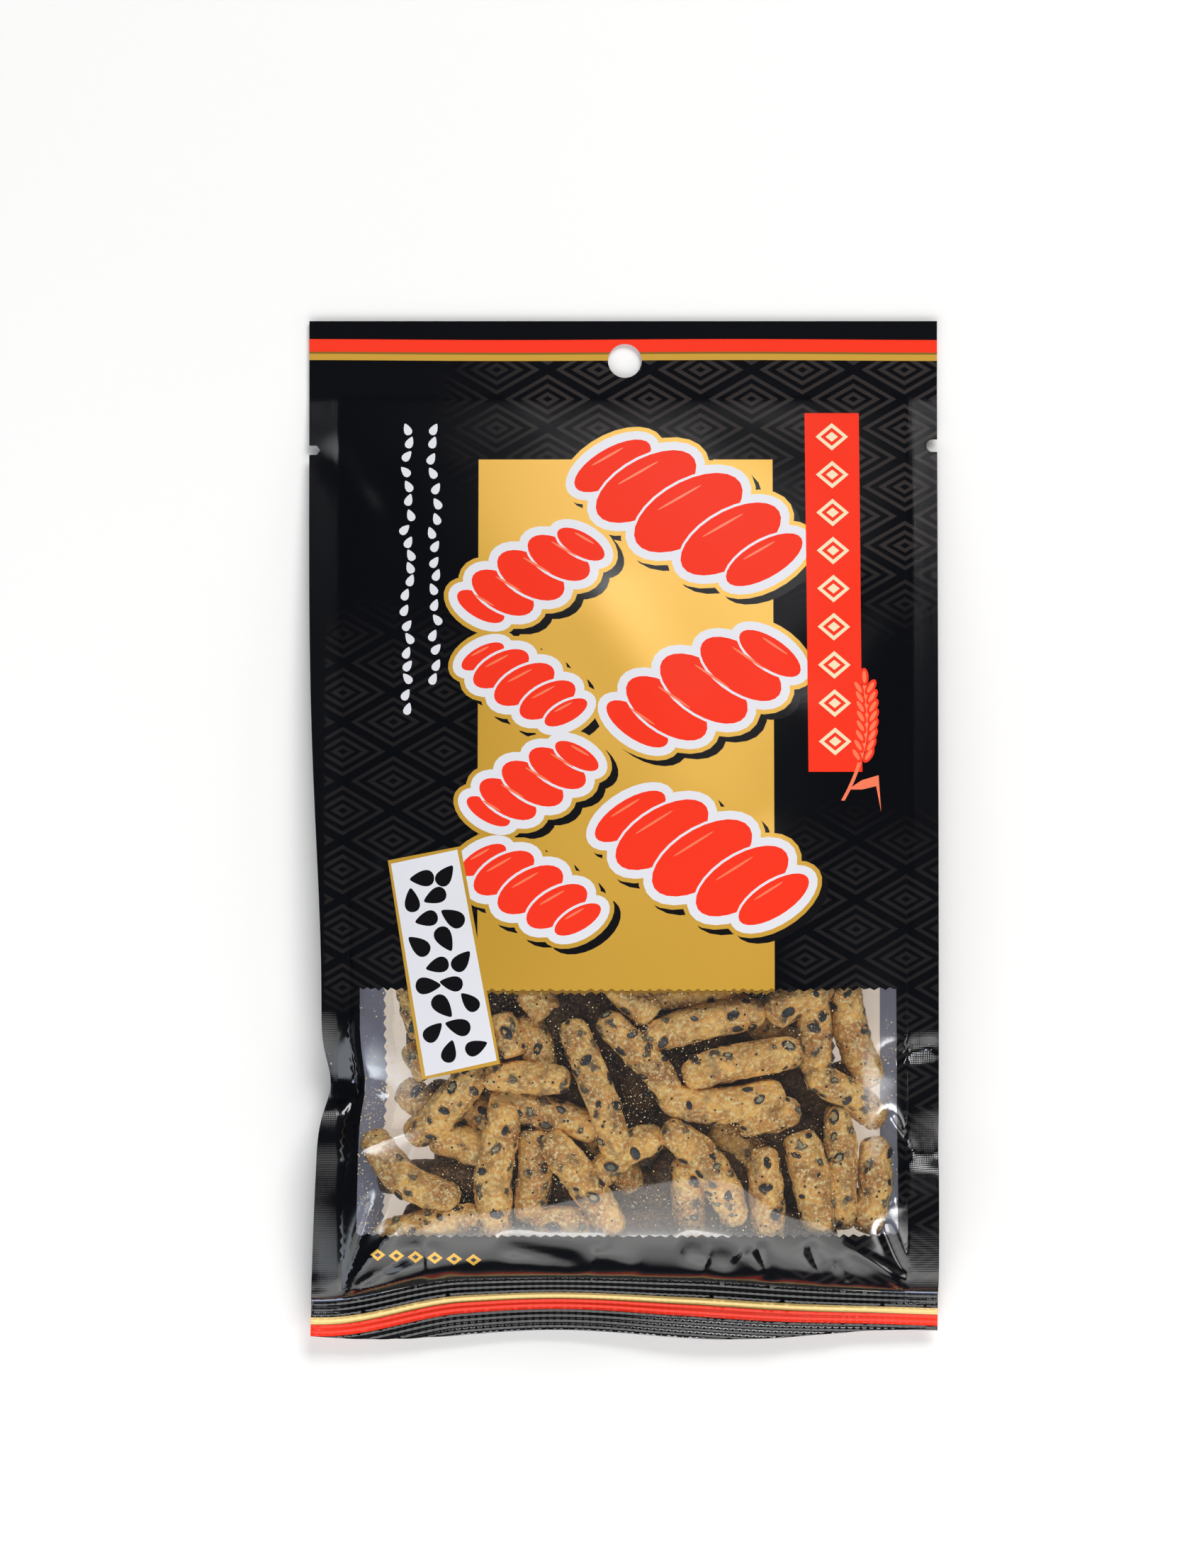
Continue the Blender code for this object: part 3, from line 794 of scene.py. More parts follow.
@dataclass(frozen=True)
class SesameHull:
    """Black sesame, some of it with a pale, opened middle and some under crust."""

    name: str = "black_sesame"
    hull: Color = (40, 44, 50)
    kernel: Color = (158, 154, 124)
    crust: Color = (206, 154, 82)
    roughness: float = 0.4

    def build(self) -> Material:
        """Return the seeds' material."""
        material, sheet, shader = new_material(self.name)
        heart, opened = (sheet.add("ShaderNodeAttribute", attribute_name=name).outputs["Fac"]
                         for name in ("heart", "opened"))
        coords = sheet.coords()
        heart = sheet.line(sheet.minus(sheet.noise(coords, 1300.0, 3.0), 0.5), 0.5, heart)
        share = sheet.times(sheet.ramp(heart, 0.38, 0.58), sheet.ramp(opened, 0.80, 0.90))
        color = sheet.blend(share, linear(*self.hull), linear(*self.kernel))
        crusted = sheet.ramp(sheet.noise(coords, 760.0, 2.0), 0.60, 0.66)
        covered = sheet.math("MAXIMUM", sheet.ramp(heart, 0.14, 0.04), crusted)
        sheet.set(shader.inputs["Base Color"], sheet.over(color, covered, self.crust))
        shader.inputs["Roughness"].default_value = self.roughness
        return material


@dataclass(frozen=True)
class PlainFinish:
    """A plain rough finish with fine mottling."""

    name: str
    color: Color
    darker: Color
    roughness: float
    scale: float

    def build(self) -> Material:
        """Return the material."""
        material, sheet, shader = new_material(self.name)
        share = sheet.ramp(sheet.noise(sheet.coords(), self.scale, 3.0), 0.35, 0.65)
        color = sheet.blend(share, linear(*self.darker), linear(*self.color))
        sheet.set(shader.inputs["Base Color"], color)
        shader.inputs["Roughness"].default_value = self.roughness
        return material


# ------------------------------------------------------------------ the print

class Field(Enum):
    """The printed fields of the film, in the order of the front's material slots."""

    BLACK = 0
    RED = 1
    GOLD = 2
    GOLD_EDGE = 3
    WHITE = 4
    CREAM = 5
    PALE_RED = 6
    PLAIN_BLACK = 7
    BARE = 8
    CLEAR = 9
    MARGIN_PAINTED_SHEEN = 10
    LINING_PAINTED_BACKLIGHT = 11
    PALE_GOLD = 12


FIELD_FINISHES: dict[Field, object] = {
    Field.BLACK: LozengeFilm(),
    Field.RED: Ink("red_ink", (252, 59, 37), coat=0.4, coat_roughness=0.04, specular=0.1),
    Field.GOLD: Ink("gold_ink", (226, 174, 54), 0.46, 0.4, coat=1.0, coat_roughness=0.34),
    Field.GOLD_EDGE: Ink("gold_ink_edge", (150, 112, 44), 0.38, 0.3),
    Field.WHITE: Ink("white_ink", (234, 234, 240)),
    Field.CREAM: Ink("cream_ink", (250, 230, 190)),
    Field.PALE_RED: Ink("pale_red_ink", (255, 128, 92)),
    Field.PLAIN_BLACK: Ink("black_ink", (16, 15, 18)),
    Field.BARE: Ink("bare_white_film", (228, 220, 209), 0.4),
    # Painted sheen and haze: a pale bluish glowing colour on the back's edges, standing for light the
    # window reflects and scatters.
    Field.MARGIN_PAINTED_SHEEN: Ink("margin_film_painted_sheen", (160, 170, 199), 0.4, glow=0.12),
    # Painted backlight: the lining glows to stand for light coming through the back film.
    Field.LINING_PAINTED_BACKLIGHT: Ink("white_lining_painted_backlight", (240, 230, 218), 0.4, glow=0.58),
    Field.PALE_GOLD: Ink("pale_gold_ink", (250, 214, 136), 0.3, 0.1),
    Field.CLEAR: ClearFilm(),
}


@dataclass(frozen=True)
class Patch:
    """One closed field of colour on the flat film."""

    field: Field
    outline: Outline


@dataclass(frozen=True)
class Twist:
    """A twisted dough stick, drawn as slanted lobes that shrink towards its ends."""

    x: float
    y: float
    length: float
    thick: float
    turn: float
    lean: float = 58.0
    sizes: tuple[float, ...] = (0.60, 0.90, 1.0, 0.90, 0.60)

    def lobes(self, grow: float, dx: float = 0.0, dy: float = 0.0) -> list[Outline]:
        """Return the lobes, grown outwards and shifted.

        Args:
            grow: how far each lobe is grown.
            dx: shift along x.
            dy: shift along y.

        Returns:
            One outline for each lobe.
        """
        unit = self.length / sum(self.sizes)
        cos, sin = math.cos(math.radians(self.turn)), math.sin(math.radians(self.turn))
        start = -0.5 * self.length
        outlines = []
        for size in self.sizes:
            middle = start + 0.5 * unit * size
            x = self.x + middle * cos + dx
            y = self.y + middle * sin + dy
            reach, width = 0.5 * self.thick * (0.3 + 0.7 * size), 0.60 * unit * size
            outlines.append(ellipse(x, y, reach + grow, width + grow, self.turn + self.lean))
            start += unit * size
        return outlines

    def shines(self) -> list[Outline]:
        """Return a thin paler stroke along the upper edge of each lobe."""
        outlines = []
        turn = math.radians(self.turn + self.lean)
        side = 1.0 if math.cos(turn) > 0.0 else -1.0
        for lobe in self.lobes(0.0):
            x = sum(point[0] for point in lobe) / len(lobe)
            y = sum(point[1] for point in lobe) / len(lobe)
            reach = math.hypot(lobe[0][0] - x, lobe[0][1] - y)
            width = math.hypot(lobe[6][0] - x, lobe[6][1] - y)
            x -= 0.55 * side * width * math.sin(turn)
            y += 0.55 * side * width * math.cos(turn)
            outlines.append(ellipse(x, y, 0.42 * reach, 0.28, self.turn + self.lean, 14))
        return outlines


@dataclass
class FrontPrint:
    """The fields of colour on the front of the pouch."""

    form: PouchForm
    window_left: float = -64.5
    window_right: float = 64.8
    window_top: float = -37.6
    window_bottom: float = -96.0
    tooth: float = 2.35
    tooth_depth: float = 0.42
    panel_left: float = -34.5
    panel_right: float = 35.6
    panel_top: float = 88.3
    twists: tuple[Twist, ...] = (
        Twist(15.5, 75.5, 50.0, 29.0, -32.0, 62.0),
        Twist(19.0, 33.5, 42.0, 24.0, 28.0, -62.0),
        Twist(18.5, -6.5, 46.0, 27.0, -30.0, 62.0),
        Twist(-22.0, 60.5, 33.0, 18.0, 32.0, -62.0),
        Twist(-23.5, 34.5, 28.0, 16.0, -34.0, 62.0),
        Twist(-21.5, 11.0, 29.0, 16.5, 32.0, -62.0),
        Twist(-22.0, -14.0, 31.0, 17.5, -32.0, 62.0),
    )
    label: tuple[tuple[float, float], ...] = (
        (-56.2, -7.2), (-38.5, -3.8), (-29.1, -55.0), (-47.7, -58.9),
    )
    label_border: float = 0.8

    def patches(self) -> list[Patch]:
        """Return every field, the lowest layer first."""
        layers = [self.stripes(), self.bottom_stripes(), self.panel(), self.window()]
        layers += [self.twist_layers(), self.red_strip(), self.ear(), self.grain_columns()]
        layers += [self.slanted_label(), self.seal_marks()]
        return [patch for layer in layers for patch in layer]

    def band(self, low: Callable, high: Callable, left: float, right: float) -> Outline:
        """Return a band between two curves over x."""
        steps = max(2, int((right - left) / 1.6))
        places = [left + (right - left) * step / steps for step in range(steps + 1)]
        lower = [(x, float(low(x))) for x in places]
        upper = [(x, float(high(x))) for x in reversed(places)]
        return lower + upper

    def stripes(self) -> list[Patch]:
        """Return the red and gold stripes under the top edge."""
        edge = self.form.half_width + 1.0
        levels = (112.1, 113.6, 114.1, 117.1)
        waver = [lambda x, y=y: y + 0.12 * math.sin(x / 17.0) for y in levels]
        found = []
        for kind, low, high in zip((Field.GOLD, Field.GOLD_EDGE, Field.RED), waver, waver[1:]):
            found.append(Patch(kind, self.band(low, high, -edge, edge)))
        return found

    def bottom_stripes(self) -> list[Patch]:
        """Return the gold and red stripes along the ribs of the bottom seal."""
        edge = self.form.half_width + 1.0

        def follow(offset: float) -> Callable:
            """Return the curve of the seal at an offset from the gold stripe."""
            return lambda x: -112.5 + float(self.form.sweep(np.array(x))) + offset

        bands = (
            (Field.PALE_GOLD, -0.75, 0.85), (Field.GOLD_EDGE, -0.95, -0.75),
            (Field.RED, -3.7, -0.95),
        )
        return [Patch(kind, self.band(follow(low), follow(high), -edge, edge))
                for kind, low, high in bands]

    def zigzag(self, level: float, seed: int, left: float, right: float) -> Outline:
        """Return an uneven row of teeth from left to right."""
        draw = random.Random(seed)
        row = []
        x, up = left, 1.0
        while x < right:
            row.append((x, level + up * self.tooth_depth * draw.uniform(0.35, 1.1)))
            x += 0.5 * self.tooth * draw.uniform(0.7, 1.3)
            up = -up
        row.append((right, level))
        return row

    def panel(self) -> list[Patch]:
        """Return the gold panel, which runs down to the window."""
        low = self.window_top - 0.2
        corners = [(self.panel_left, low), (self.panel_right, low)]
        corners += [(self.panel_right, self.panel_top), (self.panel_left, self.panel_top)]
        return [Patch(Field.GOLD, corners)]

    def window(self) -> list[Patch]:
        """Return the clear window with its toothed ends and the panel's darker edge."""
        top = self.zigzag(self.window_top, 3, self.window_left, self.window_right)
        bottom = self.zigzag(self.window_bottom, 5, self.window_left + 0.4, self.window_right + 0.5)
        clear = bottom + top[::-1]
        rim = [point for point in top if self.panel_left < point[0] < self.panel_right]
        rim = [(self.panel_left, self.window_top), *rim, (self.panel_right, self.window_top)]
        under = [(x, y - 0.75) for x, y in reversed(rim)]
        edge = Patch(Field.GOLD_EDGE, rim + under)
        return [Patch(Field.CLEAR, clear), edge]

    def twist_layers(self) -> list[Patch]:
        """Return the twisted sticks: shadow, gold rim, white rim and red lobes."""
        layers = (
            (Field.PLAIN_BLACK, 2.9, 1.7, -1.5),
            (Field.GOLD, 3.1, 0.0, 0.0),
            (Field.WHITE, 2.0, 0.0, 0.0),
        )
        found = []
        for kind, grow, dx, dy in layers:
            for twist in self.twists:
                found += [Patch(kind, lobe) for lobe in twist.lobes(grow, dx, dy)]
        for twist in self.twists:
            for rim, lobe in zip(twist.lobes(0.45), twist.lobes(-0.15)):
                found += [Patch(Field.WHITE, rim), Patch(Field.RED, lobe)]
            found += [Patch(Field.PALE_RED, shine) for shine in twist.shines()]
        return found

    def red_strip(self) -> list[Patch]:
        """Return the upright red strip with its row of cream lozenges."""
        strip = [(43.8, 13.8), (56.7, 13.8), (56.3, 99.5), (43.3, 99.5)]
        found = [Patch(Field.RED, strip)]
        count, top, pitch = 9, 93.8, 9.1
        nested = ((Field.CREAM, 3.9, 3.3), (Field.RED, 2.7, 2.2), (Field.CREAM, 1.5, 1.2))
        for step in range(count):
            y = top - pitch * step
            x = 49.8 + 0.45 * step / count
            found += [Patch(kind, lozenge(x, y, a, b)) for kind, a, b in nested]
        return found

    def ear(self) -> list[Patch]:
        """Return the ear of grain: stem, leaf and pairs of grains with paler middles."""
        spine = []
        for step in range(13):
            t = step / 12.0
            spine.append((56.6 + 3.4 * math.sin(1.35 * t + 0.2) - 8.0 * t * t, 34.5 - 27.5 * t))
        stem = [(x - 0.45, y) for x, y in spine] + [(x + 0.45, y) for x, y in reversed(spine)]
        leaf = [(53.2, 9.6), (56.5, 11.8), (60.6, 13.0), (61.2, 4.3), (60.0, 10.4), (56.6, 9.6)]
        found = [Patch(Field.PALE_RED, stem), Patch(Field.PALE_RED, leaf)]
        grains = []
        for step in range(8):
            x, y = spine[step]
            for side in (-1.0, 1.0):
                grains.append((x + side * 1.5, y - 0.6, 90.0 - side * 32.0))
        grains.append((spine[0][0], spine[0][1] + 1.9, 92.0))
        found += [Patch(Field.RED, ellipse(x, y, 2.15, 1.05, turn, 16)) for x, y, turn in grains]
        middle = [Patch(Field.PALE_RED, ellipse(x, y, 1.5, 0.5, turn, 12)) for x, y, turn in grains]
        return found + middle

    def grain_columns(self) -> list[Patch]:
        """Return two columns of small white seeds."""
        draw = random.Random(8)
        found = []
        for x, top, bottom in ((-45.0, 95.6, 33.0), (-51.4, 95.6, 28.0)):
            y = top
            while y > bottom:
                turn = 90.0 + draw.choice((-1.0, 1.0)) * draw.uniform(18.0, 46.0)
                seed = drop(x + draw.uniform(-0.8, 0.8), y, 3.0, turn, 12)
                found.append(Patch(Field.WHITE, seed))
                y -= draw.uniform(3.0, 3.9)
        return found

    def slanted_label(self) -> list[Patch]:
        """Return the slanted white label with a gold border and black seeds."""
        outer = [Vector(corner) for corner in self.label]
        middle = sum(outer, Vector((0.0, 0.0))) / 4.0
        inner = []
        for corner in outer:
            away = corner - middle
            inner.append(tuple(corner - Vector((math.copysign(self.label_border, away.x),
                                                 math.copysign(self.label_border, away.y)))))
        found = [Patch(Field.GOLD, list(self.label)), Patch(Field.WHITE, inner)]
        head = 0.5 * (outer[0] + outer[1])
        foot = 0.5 * (outer[2] + outer[3])
        draw = random.Random(19)
        along = (foot - head).normalized()
        side = Vector((-along.y, along.x))
        for row in range(9):
            centre = head.lerp(foot, 0.105 + 0.099 * row)
            offsets = (-4.4, 1.4) if row % 2 else (-1.6, 4.4)
            for off in offsets:
                spot = centre + side * (off + draw.uniform(-0.6, 0.6))
                spot += along * draw.uniform(-0.5, 0.5)
                outline = drop(spot.x, spot.y, draw.uniform(5.4, 6.4), draw.uniform(0.0, 360.0))
                found.append(Patch(Field.PLAIN_BLACK, outline))
        return found

    def seal_marks(self) -> list[Patch]:
        """Return a short row of small gold lozenges above the bottom seal."""
        found = []
        for step in range(6):
            x = -58.5 + 4.6 * step
            y = -100.6 - 0.25 * step
            found.append(Patch(Field.GOLD, lozenge(x, y, 1.9, 1.5)))
            found.append(Patch(Field.PLAIN_BLACK, lozenge(x, y, 0.8, 0.6)))
        return found


@dataclass
class BackPrint:
    """The fields of colour on the back of the pouch."""

    form: PouchForm
    front: FrontPrint
    panel_left: float = -58.3
    panel_right: float = 61.2
    panel_top: float = 84.0
    panel_bottom: float = -98.0

    def patches(self) -> list[Patch]:
        """Return the stripes and the bare panel."""
        corners = [(self.panel_left, self.panel_bottom), (self.panel_right, self.panel_bottom)]
        corners += [(self.panel_right, self.panel_top), (self.panel_left, self.panel_top)]
        found = self.front.stripes() + self.front.bottom_stripes()
        return found + [Patch(Field.BARE, corners)]


# ------------------------------------------------------------------ the film

class Side(Enum):
    """Which sheet of film a mesh is for."""

    FRONT = 1
    BACK = -1


def refine(outline: Outline, step: float) -> Outline:
    """Return an outline with points no further apart than a step."""
    fine = []
    for (x0, y0), (x1, y1) in zip(outline, outline[1:] + outline[:1]):
        parts = max(1, math.ceil(math.hypot(x1 - x0, y1 - y0) / step))
        fine += [(x0 + (x1 - x0) * i / parts, y0 + (y1 - y0) * i / parts) for i in range(parts)]
    return fine


def inside(points: Array, outline: Outline) -> Array:
    """Return which points lie inside a closed outline.

    Args:
        points: rows of x and y.
        outline: the closed outline.

    Returns:
        A true or false for each point.
    """
    corners = np.array(outline)
    low, high = corners.min(axis=0), corners.max(axis=0)
    near = np.all((points >= low) & (points <= high), axis=1)
    found = np.zeros(len(points), bool)
    chosen = np.nonzero(near)[0]
    if not len(chosen):
        return found
    x, y = points[chosen, 0], points[chosen, 1]
    odd = np.zeros(len(chosen), bool)
    for (x0, y0), (x1, y1) in zip(outline, outline[1:] + outline[:1]):
        if y0 == y1:
            continue
        crosses = (y0 > y) != (y1 > y)
        odd ^= crosses & (x < (x1 - x0) * (y - y0) / (y1 - y0) + x0)
    found[chosen] = odd
    return found


@dataclass
class FilmSheet:
    """One sheet of the pouch's film, cut along the edges of its print."""

    form: PouchForm
    side: Side
    patches: list[Patch]
    spacing: float = 1.3
    edge_step: float = 1.3
    seal_row: float = 0.225
    seal_column: float = 1.7
    seal_levels: tuple[float, ...] = (0.0, 0.12, 0.4, 0.9, 1.6, 2.5)
    narrow_fold: float = 2.0
    fold_rows: tuple[float, ...] = (-1.7, -1.0, -0.5, 0.0, 0.5, 1.0, 1.7)
    fold_step: float = 1.0
    opening_step: float = 0.8
    merge_cell: float = 0.45
    hole_at: tuple[float, float] = (0.4, 112.0)
    hole_radius: float = 4.05
    notch_depth: float = 2.6
    notch_radius: float = 1.5
    lining_left: float = -57.6
    lining_right: float = 61.2
    bare_middle: float = 4.0
    bare_half: float = 46.0
    points: Array = field(init=False, default=None)
    triangles: Array = field(init=False, default=None)
    fields: Array = field(init=False, default=None)

    def openings(self) -> list[Outline]:
        """Return the hang hole and the two tear notches."""
        edge = self.form.half_width
        hole = ellipse(*self.hole_at, self.hole_radius, self.hole_radius, 0.0, 40)
        tip = -edge + self.notch_depth
        left = [(-edge - 2.0, 89.5), (tip - 0.8, 89.5), (tip, 90.6), (tip - 0.8, 91.7)]
        left.append((-edge - 2.0, 91.7))
        radius, level = self.notch_radius, 91.7
        middle = edge - self.notch_depth + radius
        turns = [math.pi * (0.5 + step / 8.0) for step in range(9)]
        bend = [(middle + radius * math.cos(turn), level + radius * math.sin(turn)) for turn in turns]
        right = [(edge + 2.0, 93.2), *bend, (edge + 2.0, 90.2)]
        return [hole, left, right]

    def scattered(self) -> Array:
        """Return the free points: a close net, with finer rows over the ribs."""
        wide, tall = self.form.half_width, self.form.half_length
        pitch = self.spacing
        found = []
        rows = int(2.0 * tall / (pitch * 0.87))
        for row in range(1, rows):
            y = -tall + 2.0 * tall * row / rows
            shift = 0.5 * pitch * (row % 2)
            for x in np.arange(-wide + 0.6 * pitch + shift, wide - 0.4 * pitch, pitch):
                if y - float(self.form.sweep(np.array(x))) > self.form.seal_start + 1.5:
                    found.append((x, y))
        seal_top = self.form.seal_start + 1.2
        for row, level in enumerate(np.arange(seal_top, -tall - 0.5, -self.seal_row)):
            shift = 0.5 * self.seal_column * (row % 2)
            x = np.arange(-wide + 0.8 + shift, wide - 0.4, self.seal_column)
            y = level + self.form.sweep(x)
            found += [point for point in zip(x, y) if point[1] > -tall + 0.2]
        found += self.beside_folds()
        return np.array(found)

    def beside_folds(self) -> Outline:
        """Return close rows of points along every narrow fold."""
        wide = self.form.half_width - 0.5
        found = []
        for fold in self.form.folds:
            if fold.width > self.narrow_fold:
                continue
            length = math.hypot(fold.x1 - fold.x0, fold.y1 - fold.y0)
            along = np.array([fold.x1 - fold.x0, fold.y1 - fold.y0]) / length
            side = np.array([-along[1], along[0]])
            for step in np.arange(0.0, length, self.fold_step):
                for off in self.fold_rows:
                    point = np.array([fold.x0, fold.y0]) + along * step + side * off * fold.width
                    if abs(point[0]) < wide:
                        found.append((float(point[0]), float(point[1])))
        return found

    def seam_lines(self) -> list[Outline]:
        """Return the lines along the side seams and just above the bottom seal."""
        wide, tall, inner = self.form.half_width, self.form.half_length, self.form.inner
        lines = []
        low, high = -tall + 9.0, tall - 2.0
        for x in (-inner, inner):
            count = int((high - low) / self.edge_step)
            lines.append([(x, low + (high - low) * i / count) for i in range(count + 1)])
        across = np.linspace(-wide + 0.2, wide - 0.2, 150)
        for above in self.seal_levels:
            level = self.form.seal_start + above + self.form.sweep(across)
            lines.append(list(zip(across.tolist(), level.tolist())))
        return lines

    def triangulate(self) -> None:
        """Cut the flat sheet into triangles that follow every printed edge."""
        wide, tall = self.form.half_width, self.form.half_length
        border = [(-wide, -tall), (wide, -tall), (wide, tall), (-wide, tall)]
        loops = [refine(border, self.edge_step)]
        loops += [refine(outline, self.opening_step) for outline in self.openings()]
        loops += [refine(patch.outline, self.edge_step) for patch in self.patches]
        vertices: Outline = []
        edges: list[tuple[int, int]] = []
        for loop in loops:
            first, count = len(vertices), len(loop)
            vertices += loop
            edges += [(first + i, first + (i + 1) % count) for i in range(count)]
        for line in self.seam_lines():
            first = len(vertices)
            vertices += line
            edges += [(first + i, first + i + 1) for i in range(len(line) - 1)]
        free, cell = self.scattered(), self.merge_cell
        taken = {(round(x / cell), round(y / cell)) for x, y in vertices}
        cells = np.round(free / cell).astype(int)
        keep = [i for i, (cx, cy) in enumerate(cells) if (cx, cy) not in taken]
        vertices += [tuple(point) for point in free[keep]]
        flat = [Vector(point) for point in vertices]
        cut = delaunay_2d_cdt(flat, edges, [], 0, 1e-4, False)
        self.points = np.array([tuple(vertex) for vertex in cut[0]])
        self.triangles = np.array([face for face in cut[2] if len(face) == 3])
        self.sort_fields()

    def sort_fields(self) -> None:
        """Give each triangle its printed field, and drop those outside the film."""
        centres = self.points[self.triangles].mean(axis=1)
        wide, tall = self.form.half_width, self.form.half_length
        kept = (np.abs(centres[:, 0]) < wide) & (np.abs(centres[:, 1]) < tall)
        for outline in self.openings():
            kept &= ~inside(centres, outline)
        self.triangles, centres = self.triangles[kept], centres[kept]
        self.fields = np.zeros(len(centres), int)
        for patch in self.patches:
            self.fields[inside(centres, patch.outline)] = patch.field.value

    def build(self, name: str, wanted: Callable[[Array], Array]) -> Piece:
        """Make a closed thin shell from the triangles of some fields.

        Args:
            name: the piece's name.
            wanted: which field numbers the piece takes.

        Returns:
            The piece.
        """
        chosen = wanted(self.fields)
        triangles, fields = self.triangles[chosen], self.fields[chosen]
        used, compact = np.unique(triangles, return_inverse=True)
        triangles = compact.reshape(-1, 3)
        x, y = self.points[used, 0], self.points[used, 1]
        height = self.form.front if self.side is Side.FRONT else self.form.back
        outer = self.form.place(x, y, height)
        normals = self.form.normals(x, y, height) * self.side.value
        corners = outer[triangles]
        upward = np.cross(corners[:, 1] - corners[:, 0], corners[:, 2] - corners[:, 0])[:, 2] > 0.0
        flip = upward != (self.side is Side.FRONT)
        triangles[flip] = triangles[flip][:, ::-1]
        inner = outer - normals * self.form.film
        lining = fields
        if self.side is Side.BACK:
            inner[:, 2] = np.maximum(inner[:, 2], outer[:, 2] + 0.5 * self.form.film)
            middle = x[triangles].mean(axis=1)
            bare = (middle > self.lining_left) & (middle < self.lining_right)
            # The back's inner face glows beside the bare middle (painted backlight) and at its edges
            # (painted sheen and haze).
            lining = np.where(bare, Field.LINING_PAINTED_BACKLIGHT.value, Field.MARGIN_PAINTED_SHEEN.value)
            central = np.abs(middle - self.bare_middle) < self.bare_half
            lining = np.where(central, Field.BARE.value, lining)
        return self.shell(name, outer, inner, normals, triangles, (fields, lining))

    def shell(self, name: str, outer: Array, inner: Array, normals: Array,
              triangles: Array, layers: tuple[Array, Array]) -> Piece:
        """Join an outer and an inner face with a rim into one mesh."""
        fields, lining = layers
        count = len(outer)
        pairs = np.concatenate([triangles[:, [0, 1]], triangles[:, [1, 2]], triangles[:, [2, 0]]])
        owner = np.tile(fields, 3)
        key = np.minimum(pairs[:, 0], pairs[:, 1]) * count + np.maximum(pairs[:, 0], pairs[:, 1])
        _, where, times = np.unique(key, return_index=True, return_counts=True)
        open_edges = where[times == 1]
        start, end = pairs[open_edges, 0], pairs[open_edges, 1]
        rim = np.stack([end, start, start + count, end + count], axis=1)
        faces = triangles.tolist() + (triangles[:, ::-1] + count).tolist() + rim.tolist()
        slots = np.concatenate([fields, lining, owner[open_edges]])
        mesh = bpy.data.meshes.new(name)
        places = np.concatenate([outer, inner]) * MM
        mesh.from_pydata(places.tolist(), [], faces)
        kinds = sorted({int(slot) for slot in slots})
        for kind in kinds:
            mesh.materials.append(material_for(Field(kind)))
        lookup = {kind: number for number, kind in enumerate(kinds)}
        mesh.polygons.foreach_set("material_index", [lookup[int(slot)] for slot in slots])
        mesh.polygons.foreach_set("use_smooth", [True] * len(faces))
        both = np.concatenate([normals, -normals])
        mesh.normals_split_custom_set_from_vertices(both.tolist())
        mesh.update()
        piece = bpy.data.objects.new(name, mesh)
        bpy.context.scene.collection.objects.link(piece)
        return piece


_MATERIALS: dict[Field, Material] = {}


def material_for(kind: Field) -> Material:
    """Return the one material of a printed field."""
    if kind not in _MATERIALS:
        _MATERIALS[kind] = FIELD_FINISHES[kind].build()
    return _MATERIALS[kind]


# ------------------------------------------------------------------ what is inside

@dataclass(frozen=True)
class Stick:
    """One karinto stick under the window: its two ends, bend, thickness and depth."""

    x0: float
    y0: float
    x1: float
    y1: float
    bend: float = 0.0
    thick: float = 8.0
    depth: float = 0.0

    def at(self, share: float, off: float = 0.0) -> tuple[float, float]:
        """Return the place at a share of the stick, set off to its left."""
        wide, tall = self.x1 - self.x0, self.y1 - self.y0
        length = math.hypot(wide, tall)
        x = self.x0 + wide * share - tall / length * off
        y = self.y0 + tall * share + wide / length * off
        return x, y


